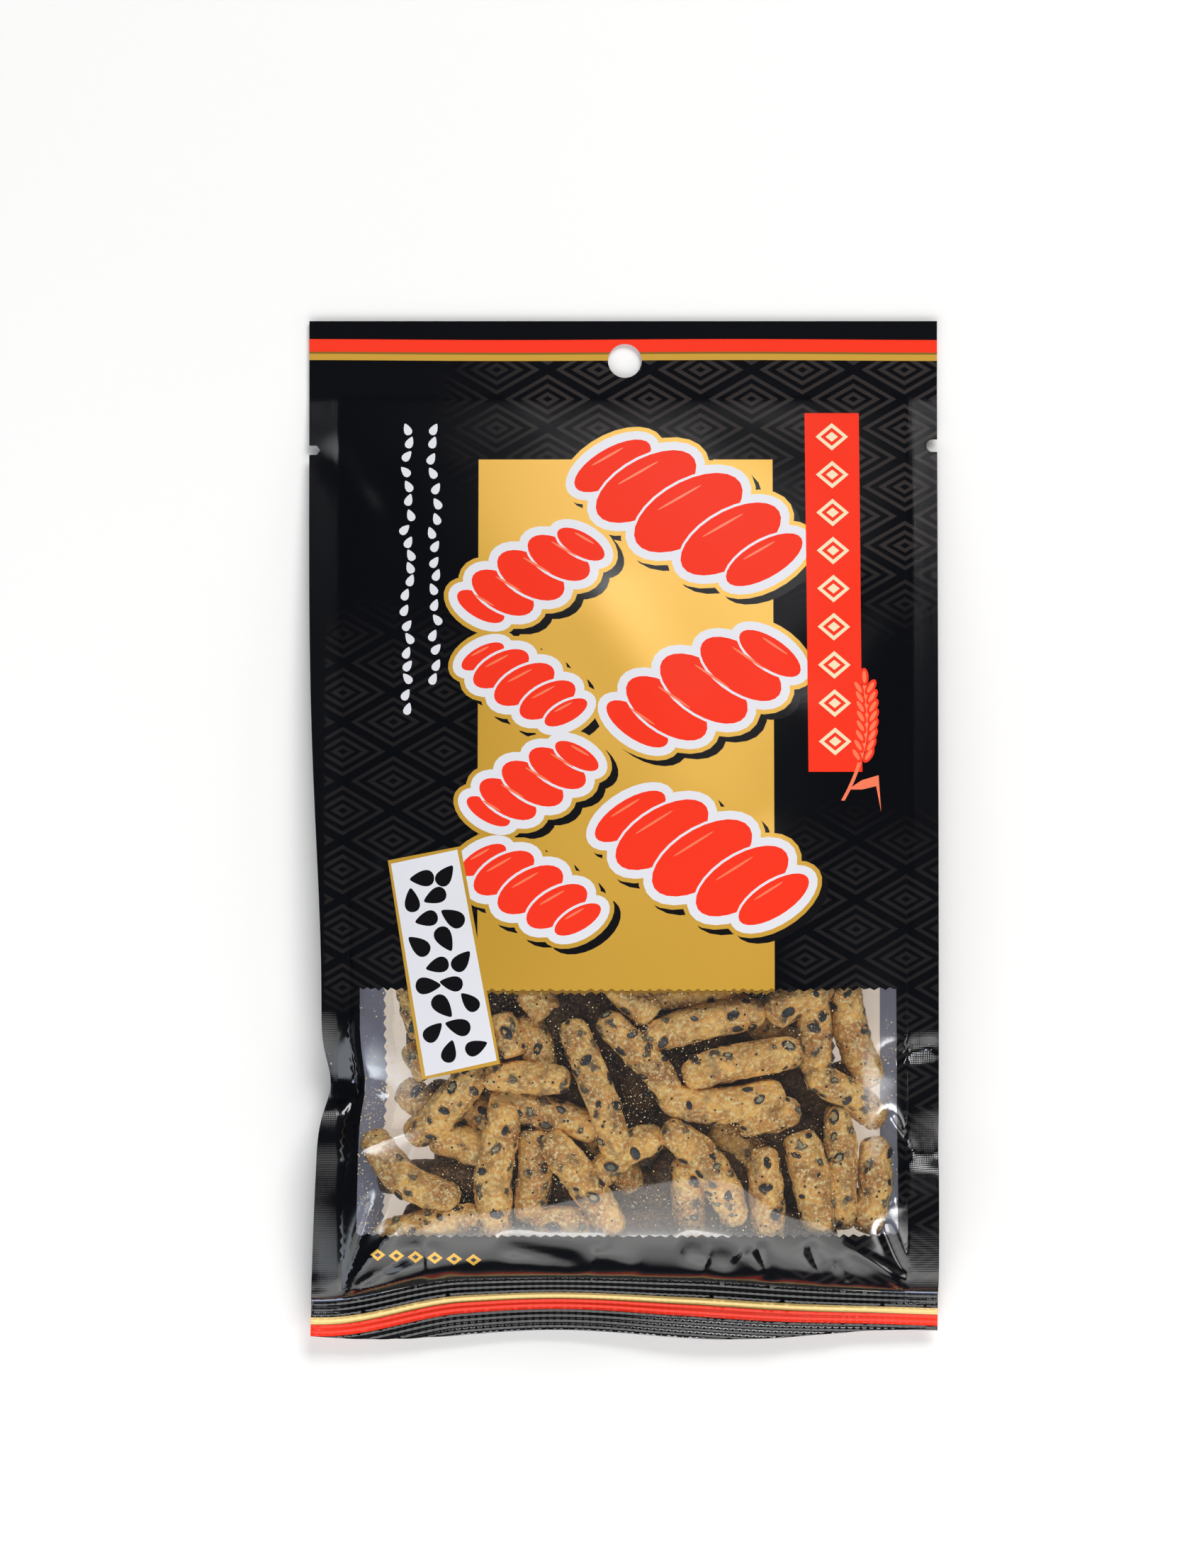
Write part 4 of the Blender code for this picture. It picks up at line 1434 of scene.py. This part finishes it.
SHOWN_STICKS: tuple[Stick, ...] = (
    Stick(-12.9, -44.5, -0.9, -77.6, 0.6, 7.8),
    Stick(-5.4, -43.8, 12.2, -63.3, 1.0, 7.6, 0.6),
    Stick(-29.6, -43.2, -26.0, -53.5, 0.0, 7.4, 0.4),
    Stick(-23.2, -36.0, -17.6, -43.6, 0.0, 8.4, 1.2),
    Stick(-23.6, -43.8, -18.6, -58.0, 0.4, 8.0, 5.0),
    Stick(-33.0, -58.6, -12.4, -59.4, 0.6, 7.4, 0.8),
    Stick(-32.0, -63.8, -5.0, -71.6, 1.0, 8.0, 3.0),
    Stick(-34.2, -55.4, -50.8, -73.6, 1.4, 8.6, 0.3),
    Stick(-60.0, -71.4, -38.8, -87.2, -4.2, 8.2, 0.2),
    Stick(-46.0, -72.6, -31.0, -77.0, 0.6, 8.2, 4.0),
    Stick(-27.2, -63.8, -30.3, -98.5, -1.8, 8.8, 0.0),
    Stick(-20.9, -70.5, -22.9, -93.4, 0.8, 8.0, 3.2),
    Stick(-18.6, -72.0, -1.6, -96.2, 1.2, 8.4, 0.0),
    Stick(-21.0, -92.4, -7.5, -92.8, 0.0, 7.2, 2.4),
    Stick(-59.0, -97.4, -33.0, -91.6, 0.8, 7.6, 0.8),
    Stick(-6.5, -83.6, 9.5, -72.6, 2.6, 7.8, 2.6),
    Stick(-52.8, -61.0, -45.0, -66.6, 0.0, 7.6, 3.8),
    Stick(-51.4, -34.6, -47.2, -50.0, 0.6, 8.0, 2.4),
    Stick(-50.4, -50.4, -45.6, -58.6, 0.0, 7.4, 4.2),
    Stick(-3.0, -35.6, 7.0, -44.8, 0.4, 8.2, 1.4),
    Stick(5.0, -39.9, 27.0, -37.6, 0.8, 7.8, 5.0),
    Stick(4.0, -49.8, 33.6, -43.2, 1.2, 8.2, 1.4),
    Stick(13.6, -58.6, 42.6, -52.6, 1.0, 8.4, 0.0),
    Stick(8.4, -62.6, 38.0, -61.4, -3.0, 8.4, 0.4),
    Stick(34.0, -44.4, 49.0, -35.8, 0.6, 8.8, 0.6),
    Stick(52.9, -34.8, 60.4, -60.4, -2.6, 8.2, 0.2),
    Stick(45.3, -37.8, 45.5, -58.0, 0.0, 7.8, 1.8),
    Stick(43.8, -57.6, 61.6, -69.4, 0.8, 7.8, 0.8),
    Stick(27.0, -69.8, 42.0, -66.4, 0.4, 7.6, 2.2),
    Stick(50.4, -64.8, 51.6, -95.0, 0.6, 7.6, 2.0),
    Stick(40.8, -71.4, 46.9, -95.8, 0.8, 9.2, 0.0),
    Stick(59.4, -72.8, 57.4, -96.0, 1.4, 8.0, 0.2),
    Stick(33.0, -74.8, 34.7, -97.5, 0.0, 8.0, 0.8),
    Stick(9.0, -69.8, 26.8, -94.0, 3.4, 8.2, 0.0),
    Stick(15.2, -76.6, 16.0, -99.0, 0.0, 8.0, 2.8),
    Stick(-12.0, -66.0, 3.0, -86.0, 0.8, 8.0, 9.0),
    Stick(-42.0, -62.0, -30.0, -72.0, 0.8, 8.0, 8.0),
    Stick(20.0, -70.0, 36.0, -82.0, 1.0, 8.0, 9.0),
    Stick(24.0, -40.0, 42.0, -56.0, 1.0, 8.0, 9.0),
    Stick(-40.0, -40.0, -30.0, -62.0, 1.0, 8.0, 9.5),
)


@dataclass
class Filling:
    """The sticks behind the window, with their sesame and crumbs.

    Each of the near rows has a half length, a tilt, a depth and the middles of its sticks.
    """

    form: PouchForm
    rear_count: int = 96
    shown_net: tuple[int, int] = (60, 32)
    rear_net: tuple[int, int] = (26, 16)
    spine_points: int = 9
    end_inset: float = 0.12
    clearance: float = 0.75
    floor_gap: float = 0.4
    film_gap: float = 0.3
    steepest: float = 1.2
    seed_form: tuple[float, float, float] = (1.55, 0.98, 0.24)
    seed: int = 7
    near_rows: tuple[tuple, ...] = (
        (15.0, 4.0, 6.5, (
            (-38.0, -93.5), (-8.0, -94.5), (12.0, -94.0), (36.0, -93.5), (-44.0, -83.0),
        )),
        (14.0, 6.0, 10.5, ((-24.0, -86.0), (4.0, -86.0), (24.0, -84.0), (46.0, -86.0))),
    )
    rear_x: tuple[float, float] = (-48.0, 50.0)
    rear_y: tuple[float, float] = (-98.0, -34.0)
    rear_length: tuple[float, float] = (28.0, 38.0)
    rear_depth: tuple[float, float] = (9.5, 15.5)
    rear_bend: float = 2.0
    rear_thick: tuple[float, float] = (7.4, 8.6)
    rear_limits: tuple[float, float, float] = (52.0, 54.0, -103.0)

    def rear_sticks(self) -> list[Stick]:
        """Return seeded sticks that lie behind the ones that show."""
        draw = random.Random(self.seed)
        found: list[Stick] = []
        for half, tilt, depth, middles in self.near_rows:
            for x, y in middles:
                rise = draw.uniform(-tilt, tilt)
                found.append(Stick(x - half, y - rise, x + half, y + rise, 0.5, 8.0, depth))
        while len(found) < self.rear_count:
            x, y = draw.uniform(*self.rear_x), draw.uniform(*self.rear_y)
            turn, length = draw.uniform(0.0, math.pi), draw.uniform(*self.rear_length)
            dx, dy = 0.5 * length * math.cos(turn), 0.5 * length * math.sin(turn)
            ends = (x - dx, y - dy, x + dx, y + dy)
            depth = draw.uniform(*self.rear_depth)
            first, last, low = self.rear_limits
            if abs(ends[0]) > first or abs(ends[2]) > last or min(ends[1], ends[3]) < low:
                continue
            bend, thick = draw.uniform(-self.rear_bend, self.rear_bend), draw.uniform(*self.rear_thick)
            found.append(Stick(*ends, bend, thick, depth))
        return found

    def spine(self, stick: Stick) -> list[tuple[float, float, float]]:
        """Return points along a stick's middle, straight under the domed film."""
        radius, inset = 0.5 * stick.thick, self.end_inset
        first, last = (self.highest(*stick.at(share), radius) - stick.depth
                       for share in (inset, 1.0 - inset))
        floor = float(self.form.back(0.5 * (stick.x0 + stick.x1), 0.5 * (stick.y0 + stick.y1)))
        low = floor + radius + self.floor_gap
        places = []
        for step in range(self.spine_points):
            share = step / (self.spine_points - 1)
            off = stick.bend * (1.0 - (2.0 * share - 1.0) ** 2)
            z = first + (last - first) * (share - inset) / (1.0 - 2.0 * inset)
            places.append((*stick.at(share, off), max(z, low)))
        return places

    def highest(self, x: float, y: float, radius: float) -> float:
        """Return how high a stick's middle can lie under the film at a place."""
        step = 1.0
        near = np.array([x, x + step, x, x - step, x]), np.array([y, y, y + step, y, y - step])
        level = self.form.front(*near)
        across, along = level[1] - level[3], level[2] - level[4]
        slope = math.hypot(across / (2.0 * step), along / (2.0 * step))
        steep = math.sqrt(1.0 + min(slope, self.steepest) ** 2)
        return float(level.min()) - self.form.film - (radius + self.clearance) * steep

    def stick_curves(self, sticks: tuple[Stick, ...] | list[Stick]) -> Piece:
        """Return the sticks' middles as one curve object."""
        curve = bpy.data.curves.new("stick_middles", "CURVE")
        curve.dimensions = "3D"
        for stick in sticks:
            places = self.spine(stick)
            spline = curve.splines.new("POLY")
            spline.points.add(len(places) - 1)
            for point, (x, y, z) in zip(spline.points, places):
                point.co = (x * MM, y * MM, z * MM, 1.0)
                point.radius = 0.5 * stick.thick * MM
        holder = bpy.data.objects.new("stick_middles", curve)
        bpy.context.scene.collection.objects.link(holder)
        return holder

    def hold(self, piece: Piece) -> None:
        """Keep every point of a piece between the front and the back film."""
        metres = np.empty(3 * len(piece.data.vertices))
        piece.data.vertices.foreach_get("co", metres)
        places = metres.reshape(-1, 3) / MM
        x, y = self.form.flat(places[:, 0], places[:, 1])
        low = self.form.back(x, y) + self.film_gap
        high = self.form.front(x, y) - self.film_gap
        middle = 0.5 * (low + high)
        held = np.clip(places[:, 2], np.minimum(low, middle), np.maximum(high, middle))
        LOG.info("%s: %d points held in", piece.name, int((held != places[:, 2]).sum()))
        places[:, 2] = held
        piece.data.vertices.foreach_set("co", (places * MM).ravel())
        piece.data.update()

    def stick_tree(self, finish: Material, net: tuple[int, int]) -> Tree:
        """Return the tree that turns the middles into blunt, lumpy sticks."""
        sheet, start = new_tree("karinto_sticks", {
            "Rings": ("NodeSocketInt", net[0]),
            "Sides": ("NodeSocketInt", net[1]),
            "Lumps": ("NodeSocketFloat", 1.9 * MM),
            "Grain": ("NodeSocketFloat", 1.0 * MM),
        })
        inputs = {"Curve": start.outputs[0], "Count": start.outputs["Rings"]}
        even = sheet.add("GeometryNodeResampleCurve", inputs)
        factor = sheet.add("GeometryNodeSplineParameter").outputs["Factor"]
        centred = sheet.math("ABSOLUTE", sheet.line(factor, 2.0, -1.0))
        blunt = sheet.math("POWER", sheet.minus(1.0, sheet.math("POWER", centred, 10.0)), 0.42)
        waist = sheet.line(sheet.math("POWER", centred, 2.0), -0.14, 1.03)
        thick = sheet.add("GeometryNodeInputRadius").outputs[0]
        inputs = {"Curve": even.outputs[0], "Radius": sheet.times(thick, sheet.times(blunt, waist))}
        sized = sheet.add("GeometryNodeSetCurveRadius", inputs)
        inputs = {"Radius": 1.0, "Resolution": start.outputs["Sides"]}
        ring = sheet.add("GeometryNodeCurvePrimitiveCircle", inputs)
        inputs = {"Curve": sized.outputs[0], "Profile Curve": ring.outputs[0], "Scale": thick}
        tube = sheet.add("GeometryNodeCurveToMesh", inputs)
        inputs = {"Geometry": tube.outputs[0], "Distance": 1e-5}
        closed = sheet.add("GeometryNodeMergeByDistance", inputs)
        pushes = []
        for scale, detail, height in ((180.0, 2.0, "Lumps"), (640.0, 3.0, "Grain")):
            inputs = {"Vector": sheet.position(), "Scale": scale, "Detail": detail}
            level = sheet.minus(sheet.add("ShaderNodeTexNoise", inputs).outputs[0], 0.5)
            pushes.append(sheet.times(level, start.outputs[height]))
        inputs = {0: sheet.normal(), "Scale": sheet.math("ADD", *pushes)}
        offset = sheet.add("ShaderNodeVectorMath", inputs, operation="SCALE")
        inputs = {"Geometry": closed.outputs[0], "Offset": offset.outputs[0]}
        moved = sheet.add("GeometryNodeSetPosition", inputs)
        return finish_tree(sheet, moved.outputs[0], finish)

    def seed_shape(self, sheet: NodeSheet) -> Socket:
        """Return one flat, pointed seed that knows how near each point is to its upper middle."""
        shape = sheet.add("GeometryNodeMeshUVSphere", {"Segments": 10, "Rings": 6, "Radius": 1.0})
        x, y, z = sheet.split(sheet.position())
        long, wide, flat = self.seed_form
        pointed = sheet.times(y, sheet.line(x, -0.22, 1.0))
        inputs = {0: sheet.times(x, long), 1: sheet.times(pointed, wide), 2: sheet.times(z, flat)}
        place = sheet.add("ShaderNodeCombineXYZ", inputs).outputs[0]
        inputs = {"Geometry": shape.outputs[0], "Position": place}
        formed = sheet.add("GeometryNodeSetPosition", inputs)
        across = sheet.math("POWER", sheet.math("DIVIDE", x, long), 2.0)
        reach = sheet.math("SQRT", sheet.math("ADD", across, sheet.math("POWER", y, 2.0)))
        return sheet.store(formed.outputs[0], "heart", sheet.minus(1.0, reach))

    def seed_tree(self, finish: Material) -> Tree:
        """Return the tree that presses sesame seeds into the upper sides of the sticks."""
        sheet, start = new_tree("sesame_seeds", {
            "Density": ("NodeSocketFloat", 26000.0),
            "Spacing": ("NodeSocketFloat", 3.3 * MM),
            "Seed": ("NodeSocketInt", 4),
        })
        inputs = {"A": sheet.split(sheet.normal())[2], "B": 0.05}
        facing = sheet.add("FunctionNodeCompare", inputs, operation="GREATER_THAN")
        scatter = sheet.add("GeometryNodeDistributePointsOnFaces", {
            "Mesh": start.outputs[0],
            "Selection": facing.outputs[0],
            "Distance Min": start.outputs["Spacing"],
            "Density Max": start.outputs["Density"],
            "Seed": start.outputs["Seed"],
        }, distribute_method="POISSON")
        inputs = {"Axis": (0.0, 0.0, 1.0), "Angle": sheet.random(0.0, 6.283, 5)}
        spin = sheet.add("FunctionNodeAxisAngleToRotation", inputs)
        inputs = {0: scatter.outputs["Rotation"], 1: spin.outputs[0]}
        turned = sheet.add("FunctionNodeRotateRotation", inputs, rotation_space="LOCAL")
        placed = sheet.add("GeometryNodeInstanceOnPoints", {
            "Points": sheet.store(scatter.outputs["Points"], "opened", sheet.random(0.0, 1.0, 21)),
            "Instance": self.seed_shape(sheet),
            "Rotation": turned.outputs[0],
            "Scale": sheet.random(0.50 * MM, 1.40 * MM, 9),
        })
        return finish_tree(sheet, placed.outputs[0], finish)

    def crumb_tree(self, finish: Material) -> Tree:
        """Return the tree that dusts crumbs on the inside of the window."""
        sheet, start = new_tree("crumbs", {
            "Density": ("NodeSocketFloat", 3300000.0),
            "Seed": ("NodeSocketInt", 2),
        })
        inputs = {"Vector": sheet.position(), "Scale": 55.0, "Detail": 2.0}
        cloud = sheet.ramp(sheet.add("ShaderNodeTexNoise", inputs).outputs[0], 0.34, 0.72)
        inputs = {"A": sheet.split(sheet.normal())[2], "B": -0.3}
        facing = sheet.add("FunctionNodeCompare", inputs, operation="LESS_THAN")
        scatter = sheet.add("GeometryNodeDistributePointsOnFaces", {
            "Mesh": start.outputs[0],
            "Selection": facing.outputs[0],
            "Density": sheet.times(cloud, start.outputs["Density"]),
            "Seed": start.outputs["Seed"],
        }, distribute_method="RANDOM")
        shape = sheet.add("GeometryNodeMeshUVSphere", {"Segments": 4, "Rings": 2, "Radius": 1.0})
        inputs = {0: (0.0, 0.0, 0.0), 1: (6.2, 6.2, 6.2)}
        spin = sheet.add("FunctionNodeRandomValue", inputs, data_type="FLOAT_VECTOR")
        size = sheet.math("POWER", sheet.random(0.0, 1.0, 3), 5.0)
        placed = sheet.add("GeometryNodeInstanceOnPoints", {
            "Points": scatter.outputs["Points"],
            "Instance": shape.outputs[0],
            "Rotation": spin.outputs[0],
            "Scale": sheet.line(size, 0.20 * MM, 0.055 * MM),
        })
        return finish_tree(sheet, placed.outputs[0], finish)

    def build(self, window: Piece) -> list[Piece]:
        """Make the sticks, their sesame and the crumbs under the film.

        Args:
            window: the clear film, whose inner face holds the crumbs.

        Returns:
            The four pieces.
        """
        dough, hull = FriedDough().build(), SesameHull().build()
        # The rear sticks take a darker copy of the dough: painted shade for the deep layer.
        shaded = FriedDough("shaded_dough", (140, 106, 68), (100, 74, 46), (80, 58, 40),
                            (58, 46, 36), dull=(52, 48, 46)).build()
        crumb = PlainFinish("crumb_dust", (252, 240, 205), (235, 205, 140), 0.45, 900.0).build()
        front = self.stick_curves(SHOWN_STICKS)
        sticks = grown("karinto_sticks", front, self.stick_tree(dough, self.shown_net))
        rear = self.stick_curves(self.rear_sticks())
        rear_sticks = grown("rear_sticks", rear, self.stick_tree(shaded, self.rear_net))
        self.hold(sticks)
        self.hold(rear_sticks)
        seeds = grown("sesame_seeds", sticks, self.seed_tree(hull))
        crumbs = grown("window_crumbs", window, self.crumb_tree(crumb))
        for middles in (front, rear):
            bpy.data.objects.remove(middles)
        return [sticks, rear_sticks, seeds, crumbs]


def new_tree(name: str, inputs: dict) -> tuple[NodeSheet, bpy.types.Node]:
    """Start a geometry tree with named inputs.

    Args:
        name: the tree's name.
        inputs: socket type and value for each named input.

    Returns:
        The tree's node sheet and its input node.
    """
    tree = bpy.data.node_groups.new(name, "GeometryNodeTree")
    tree.interface.new_socket("Geometry", in_out="INPUT", socket_type="NodeSocketGeometry")
    for label, (kind, value) in inputs.items():
        socket = tree.interface.new_socket(label, in_out="INPUT", socket_type=kind)
        socket.default_value = value
    tree.interface.new_socket("Geometry", in_out="OUTPUT", socket_type="NodeSocketGeometry")
    sheet = NodeSheet(tree)
    return sheet, sheet.add("NodeGroupInput")


def finish_tree(sheet: NodeSheet, made: Socket, finish: Material) -> Tree:
    """End a tree: realize what it placed, shade it smooth and give it its material."""
    real = sheet.add("GeometryNodeRealizeInstances", {0: made})
    shaded = sheet.add("GeometryNodeSetShadeSmooth", {0: real.outputs[0]})
    dressed = sheet.add("GeometryNodeSetMaterial", {0: shaded.outputs[0], "Material": finish})
    sheet.add("NodeGroupOutput", {0: dressed.outputs[0]})
    return sheet.tree


def grown(name: str, source: Piece, tree: Tree) -> Piece:
    """Run a geometry tree on a copy of an object and return the result as a plain mesh.

    Args:
        name: the new piece's name.
        source: the object that the tree starts from.
        tree: the tree.

    Returns:
        The new piece, at the origin.
    """
    holder = bpy.data.objects.new(f"{name}_source", source.data)
    bpy.context.scene.collection.objects.link(holder)
    step = holder.modifiers.new(name, "NODES")
    step.node_group = tree
    for socket in tree.interface.items_tree:
        if socket.in_out == "INPUT" and socket.socket_type != "NodeSocketGeometry":
            step[socket.identifier] = socket.default_value
    graph = bpy.context.evaluated_depsgraph_get()
    mesh = bpy.data.meshes.new_from_object(holder.evaluated_get(graph), depsgraph=graph)
    bpy.data.objects.remove(holder)
    mesh.name = name
    piece = bpy.data.objects.new(name, mesh)
    bpy.context.scene.collection.objects.link(piece)
    return piece


# ------------------------------------------------------------------ the studio

@dataclass(frozen=True)
class Softbox:
    """One rectangular soft light.

    Its fade is the share of its half size over which all four edges go dark. Each of its
    levels is a place up its height, from 0 at the lower edge to 1, and the brightness there.
    """

    name: str
    place: tuple[float, float, float]
    target: tuple[float, float, float]
    size: tuple[float, float]
    power: float
    color: tuple[float, float, float] = (1.0, 1.0, 1.0)
    mirrored: bool = True
    fade: float = 0.0
    levels: tuple[tuple[float, float], ...] = ()

    def build(self) -> None:
        """Place the light and aim it."""
        light = bpy.data.lights.new(self.name, "AREA")
        light.shape = "RECTANGLE"
        light.size, light.size_y = self.size
        light.energy = self.power
        light.color = self.color
        if self.fade > 0.0 or self.levels:
            self.soften(light)
        holder = bpy.data.objects.new(self.name, light)
        holder.location = self.place
        holder.visible_glossy = self.mirrored
        aim = Vector(self.target) - Vector(self.place)
        holder.rotation_euler = aim.to_track_quat("-Z", "Y").to_euler()
        bpy.context.scene.collection.objects.link(holder)

    def soften(self, light: bpy.types.Light) -> None:
        """Vary the light's brightness over its face."""
        light.use_nodes = True
        sheet = NodeSheet(light.node_tree)
        across, up, _ = sheet.split(sheet.add("ShaderNodeNewGeometry").outputs["Parametric"])
        strength: object = 1.0
        if self.fade > 0.0:
            for part in (across, up):
                edge = sheet.math("ABSOLUTE", sheet.line(part, 2.0, -1.0))
                share = sheet.ramp(edge, 1.0, 1.0 - self.fade)
                strength = sheet.times(strength, share)
        if self.levels:
            total: object = self.levels[0][1]
            for (low, first), (high, last) in zip(self.levels, self.levels[1:]):
                share = sheet.ramp(up, low, high)
                total = sheet.line(share, last - first, total)
            strength = sheet.times(strength, total)
        sheet.set(light.node_tree.nodes["Emission"].inputs["Strength"], strength)


@dataclass(frozen=True)
class Studio:
    """The pale floor, the soft lights and the camera straight above."""

    floor_half: float = 3.0
    camera_height: float = 1.8
    camera_x: float = -0.00829
    camera_y: float = 0.01091
    lens: float = 172.85
    boxes: tuple[Softbox, ...] = (
        Softbox("key", (0.45, 1.30, 1.20), (0.0, 0.0, 0.0), (1.1, 0.8), 23.2),
        Softbox("fill", (-0.2, -0.3, 2.0), (0.0, 0.0, 0.0), (1.0, 1.0), 5.8, mirrored=False),
        Softbox("front_card", (-0.02, -0.971, 0.38), (0.0, -0.011, -0.19), (1.35, 1.57), 10.4,
                (1.0, 0.99, 0.97),
                levels=((0.0, 0.0), (0.36, 1.0), (0.60, 1.65), (0.80, 1.2), (0.95, 0.95))),
        Softbox("sheen_card", (0.40, 0.75, 1.50), (0.05, 0.05, 0.0), (0.8, 0.6), 0.12, fade=0.8),
        Softbox("left_card", (-0.85, -0.48, 0.38), (0.0, -0.05, 0.0), (0.80, 0.95), 5.4,
                (0.84, 0.92, 1.0), fade=0.5),
        Softbox("right_card", (0.82, -0.34, 0.34), (0.0, -0.05, 0.0), (0.56, 0.50), 3.6, fade=0.7),
    )
    ambient: float = 0.035

    def build(self) -> None:
        """Build the floor, lights, background light and camera."""
        self.floor()
        for box in self.boxes:
            box.build()
        self.background()
        self.camera()
        scene = bpy.context.scene
        scene.view_settings.view_transform = "Standard"
        scene.view_settings.look = "None"

    def floor(self) -> None:
        """Lay the pale floor under the pouch."""
        half = self.floor_half
        mesh = bpy.data.meshes.new("floor")
        corners = [(-half, -half, 0.0), (half, -half, 0.0), (half, half, 0.0), (-half, half, 0.0)]
        mesh.from_pydata(corners, [], [(0, 1, 2, 3)])
        finish = PlainFinish("pale_floor", (255, 254, 253), (254, 253, 252), 0.55, 3.0)
        mesh.materials.append(finish.build())
        floor = bpy.data.objects.new("floor", mesh)
        floor.visible_glossy = False
        bpy.context.scene.collection.objects.link(floor)

    def background(self) -> None:
        """Set a dim, even light from all round."""
        world = bpy.data.worlds.new("studio")
        world.use_nodes = True
        background = world.node_tree.nodes["Background"]
        background.inputs["Color"].default_value = (0.93, 0.96, 1.0, 1.0)
        background.inputs["Strength"].default_value = self.ambient
        bpy.context.scene.world = world

    def camera(self) -> None:
        """Hang the camera straight above the pouch."""
        camera = bpy.data.cameras.new("camera")
        camera.sensor_width = 36.0
        camera.lens = self.lens
        camera.clip_end = 20.0
        holder = bpy.data.objects.new("camera", camera)
        holder.location = (self.camera_x, self.camera_y, self.camera_height)
        bpy.context.scene.collection.objects.link(holder)
        bpy.context.scene.camera = holder


# ------------------------------------------------------------------ the pouch

@dataclass
class KarintoPouch:
    """The whole pouch: two printed sheets, the clear window and what is inside."""

    form: PouchForm

    def build(self) -> None:
        """Make every piece and fit it to the frame."""
        front = FrontPrint(self.form)
        sheet = FilmSheet(self.form, Side.FRONT, front.patches())
        sheet.triangulate()
        clear = Field.CLEAR.value
        printed = sheet.build("front_film", lambda fields: fields != clear)
        window = sheet.build("window_film", lambda fields: fields == clear)
        back_patches = BackPrint(self.form, front).patches()
        back_sheet = FilmSheet(self.form, Side.BACK, back_patches, spacing=1.6)
        back_sheet.triangulate()
        back = back_sheet.build("back_film", lambda fields: fields >= 0)
        sticks, rear, seeds, crumbs = Filling(self.form).build(window)
        self.dress(printed, ("pouch",))
        self.dress(back, ("pouch",))
        self.dress(window, ("window",))
        self.dress(sticks, ("karinto",))
        self.dress(rear, ("karinto",))
        self.dress(seeds, ())
        self.dress(crumbs, ())

    def dress(self, piece: Piece, nodes: tuple[str, ...]) -> None:
        """Ride a piece on the root body and hide the nodes it stands for."""
        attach(piece, "root")
        if nodes:
            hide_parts(*nodes)
        faces = sum(len(face.vertices) - 2 for face in piece.data.polygons)
        LOG.info("%s: %d triangles", piece.name, faces)


def main() -> None:
    """Load the frame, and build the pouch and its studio."""
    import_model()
    low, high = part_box("pouch")
    half_width, half_length = (0.5 * (high[axis] - low[axis]) / MM for axis in (0, 1))
    KarintoPouch(PouchForm(half_width, half_length)).build()
    Studio().build()


if __name__ == "__main__":
    main()
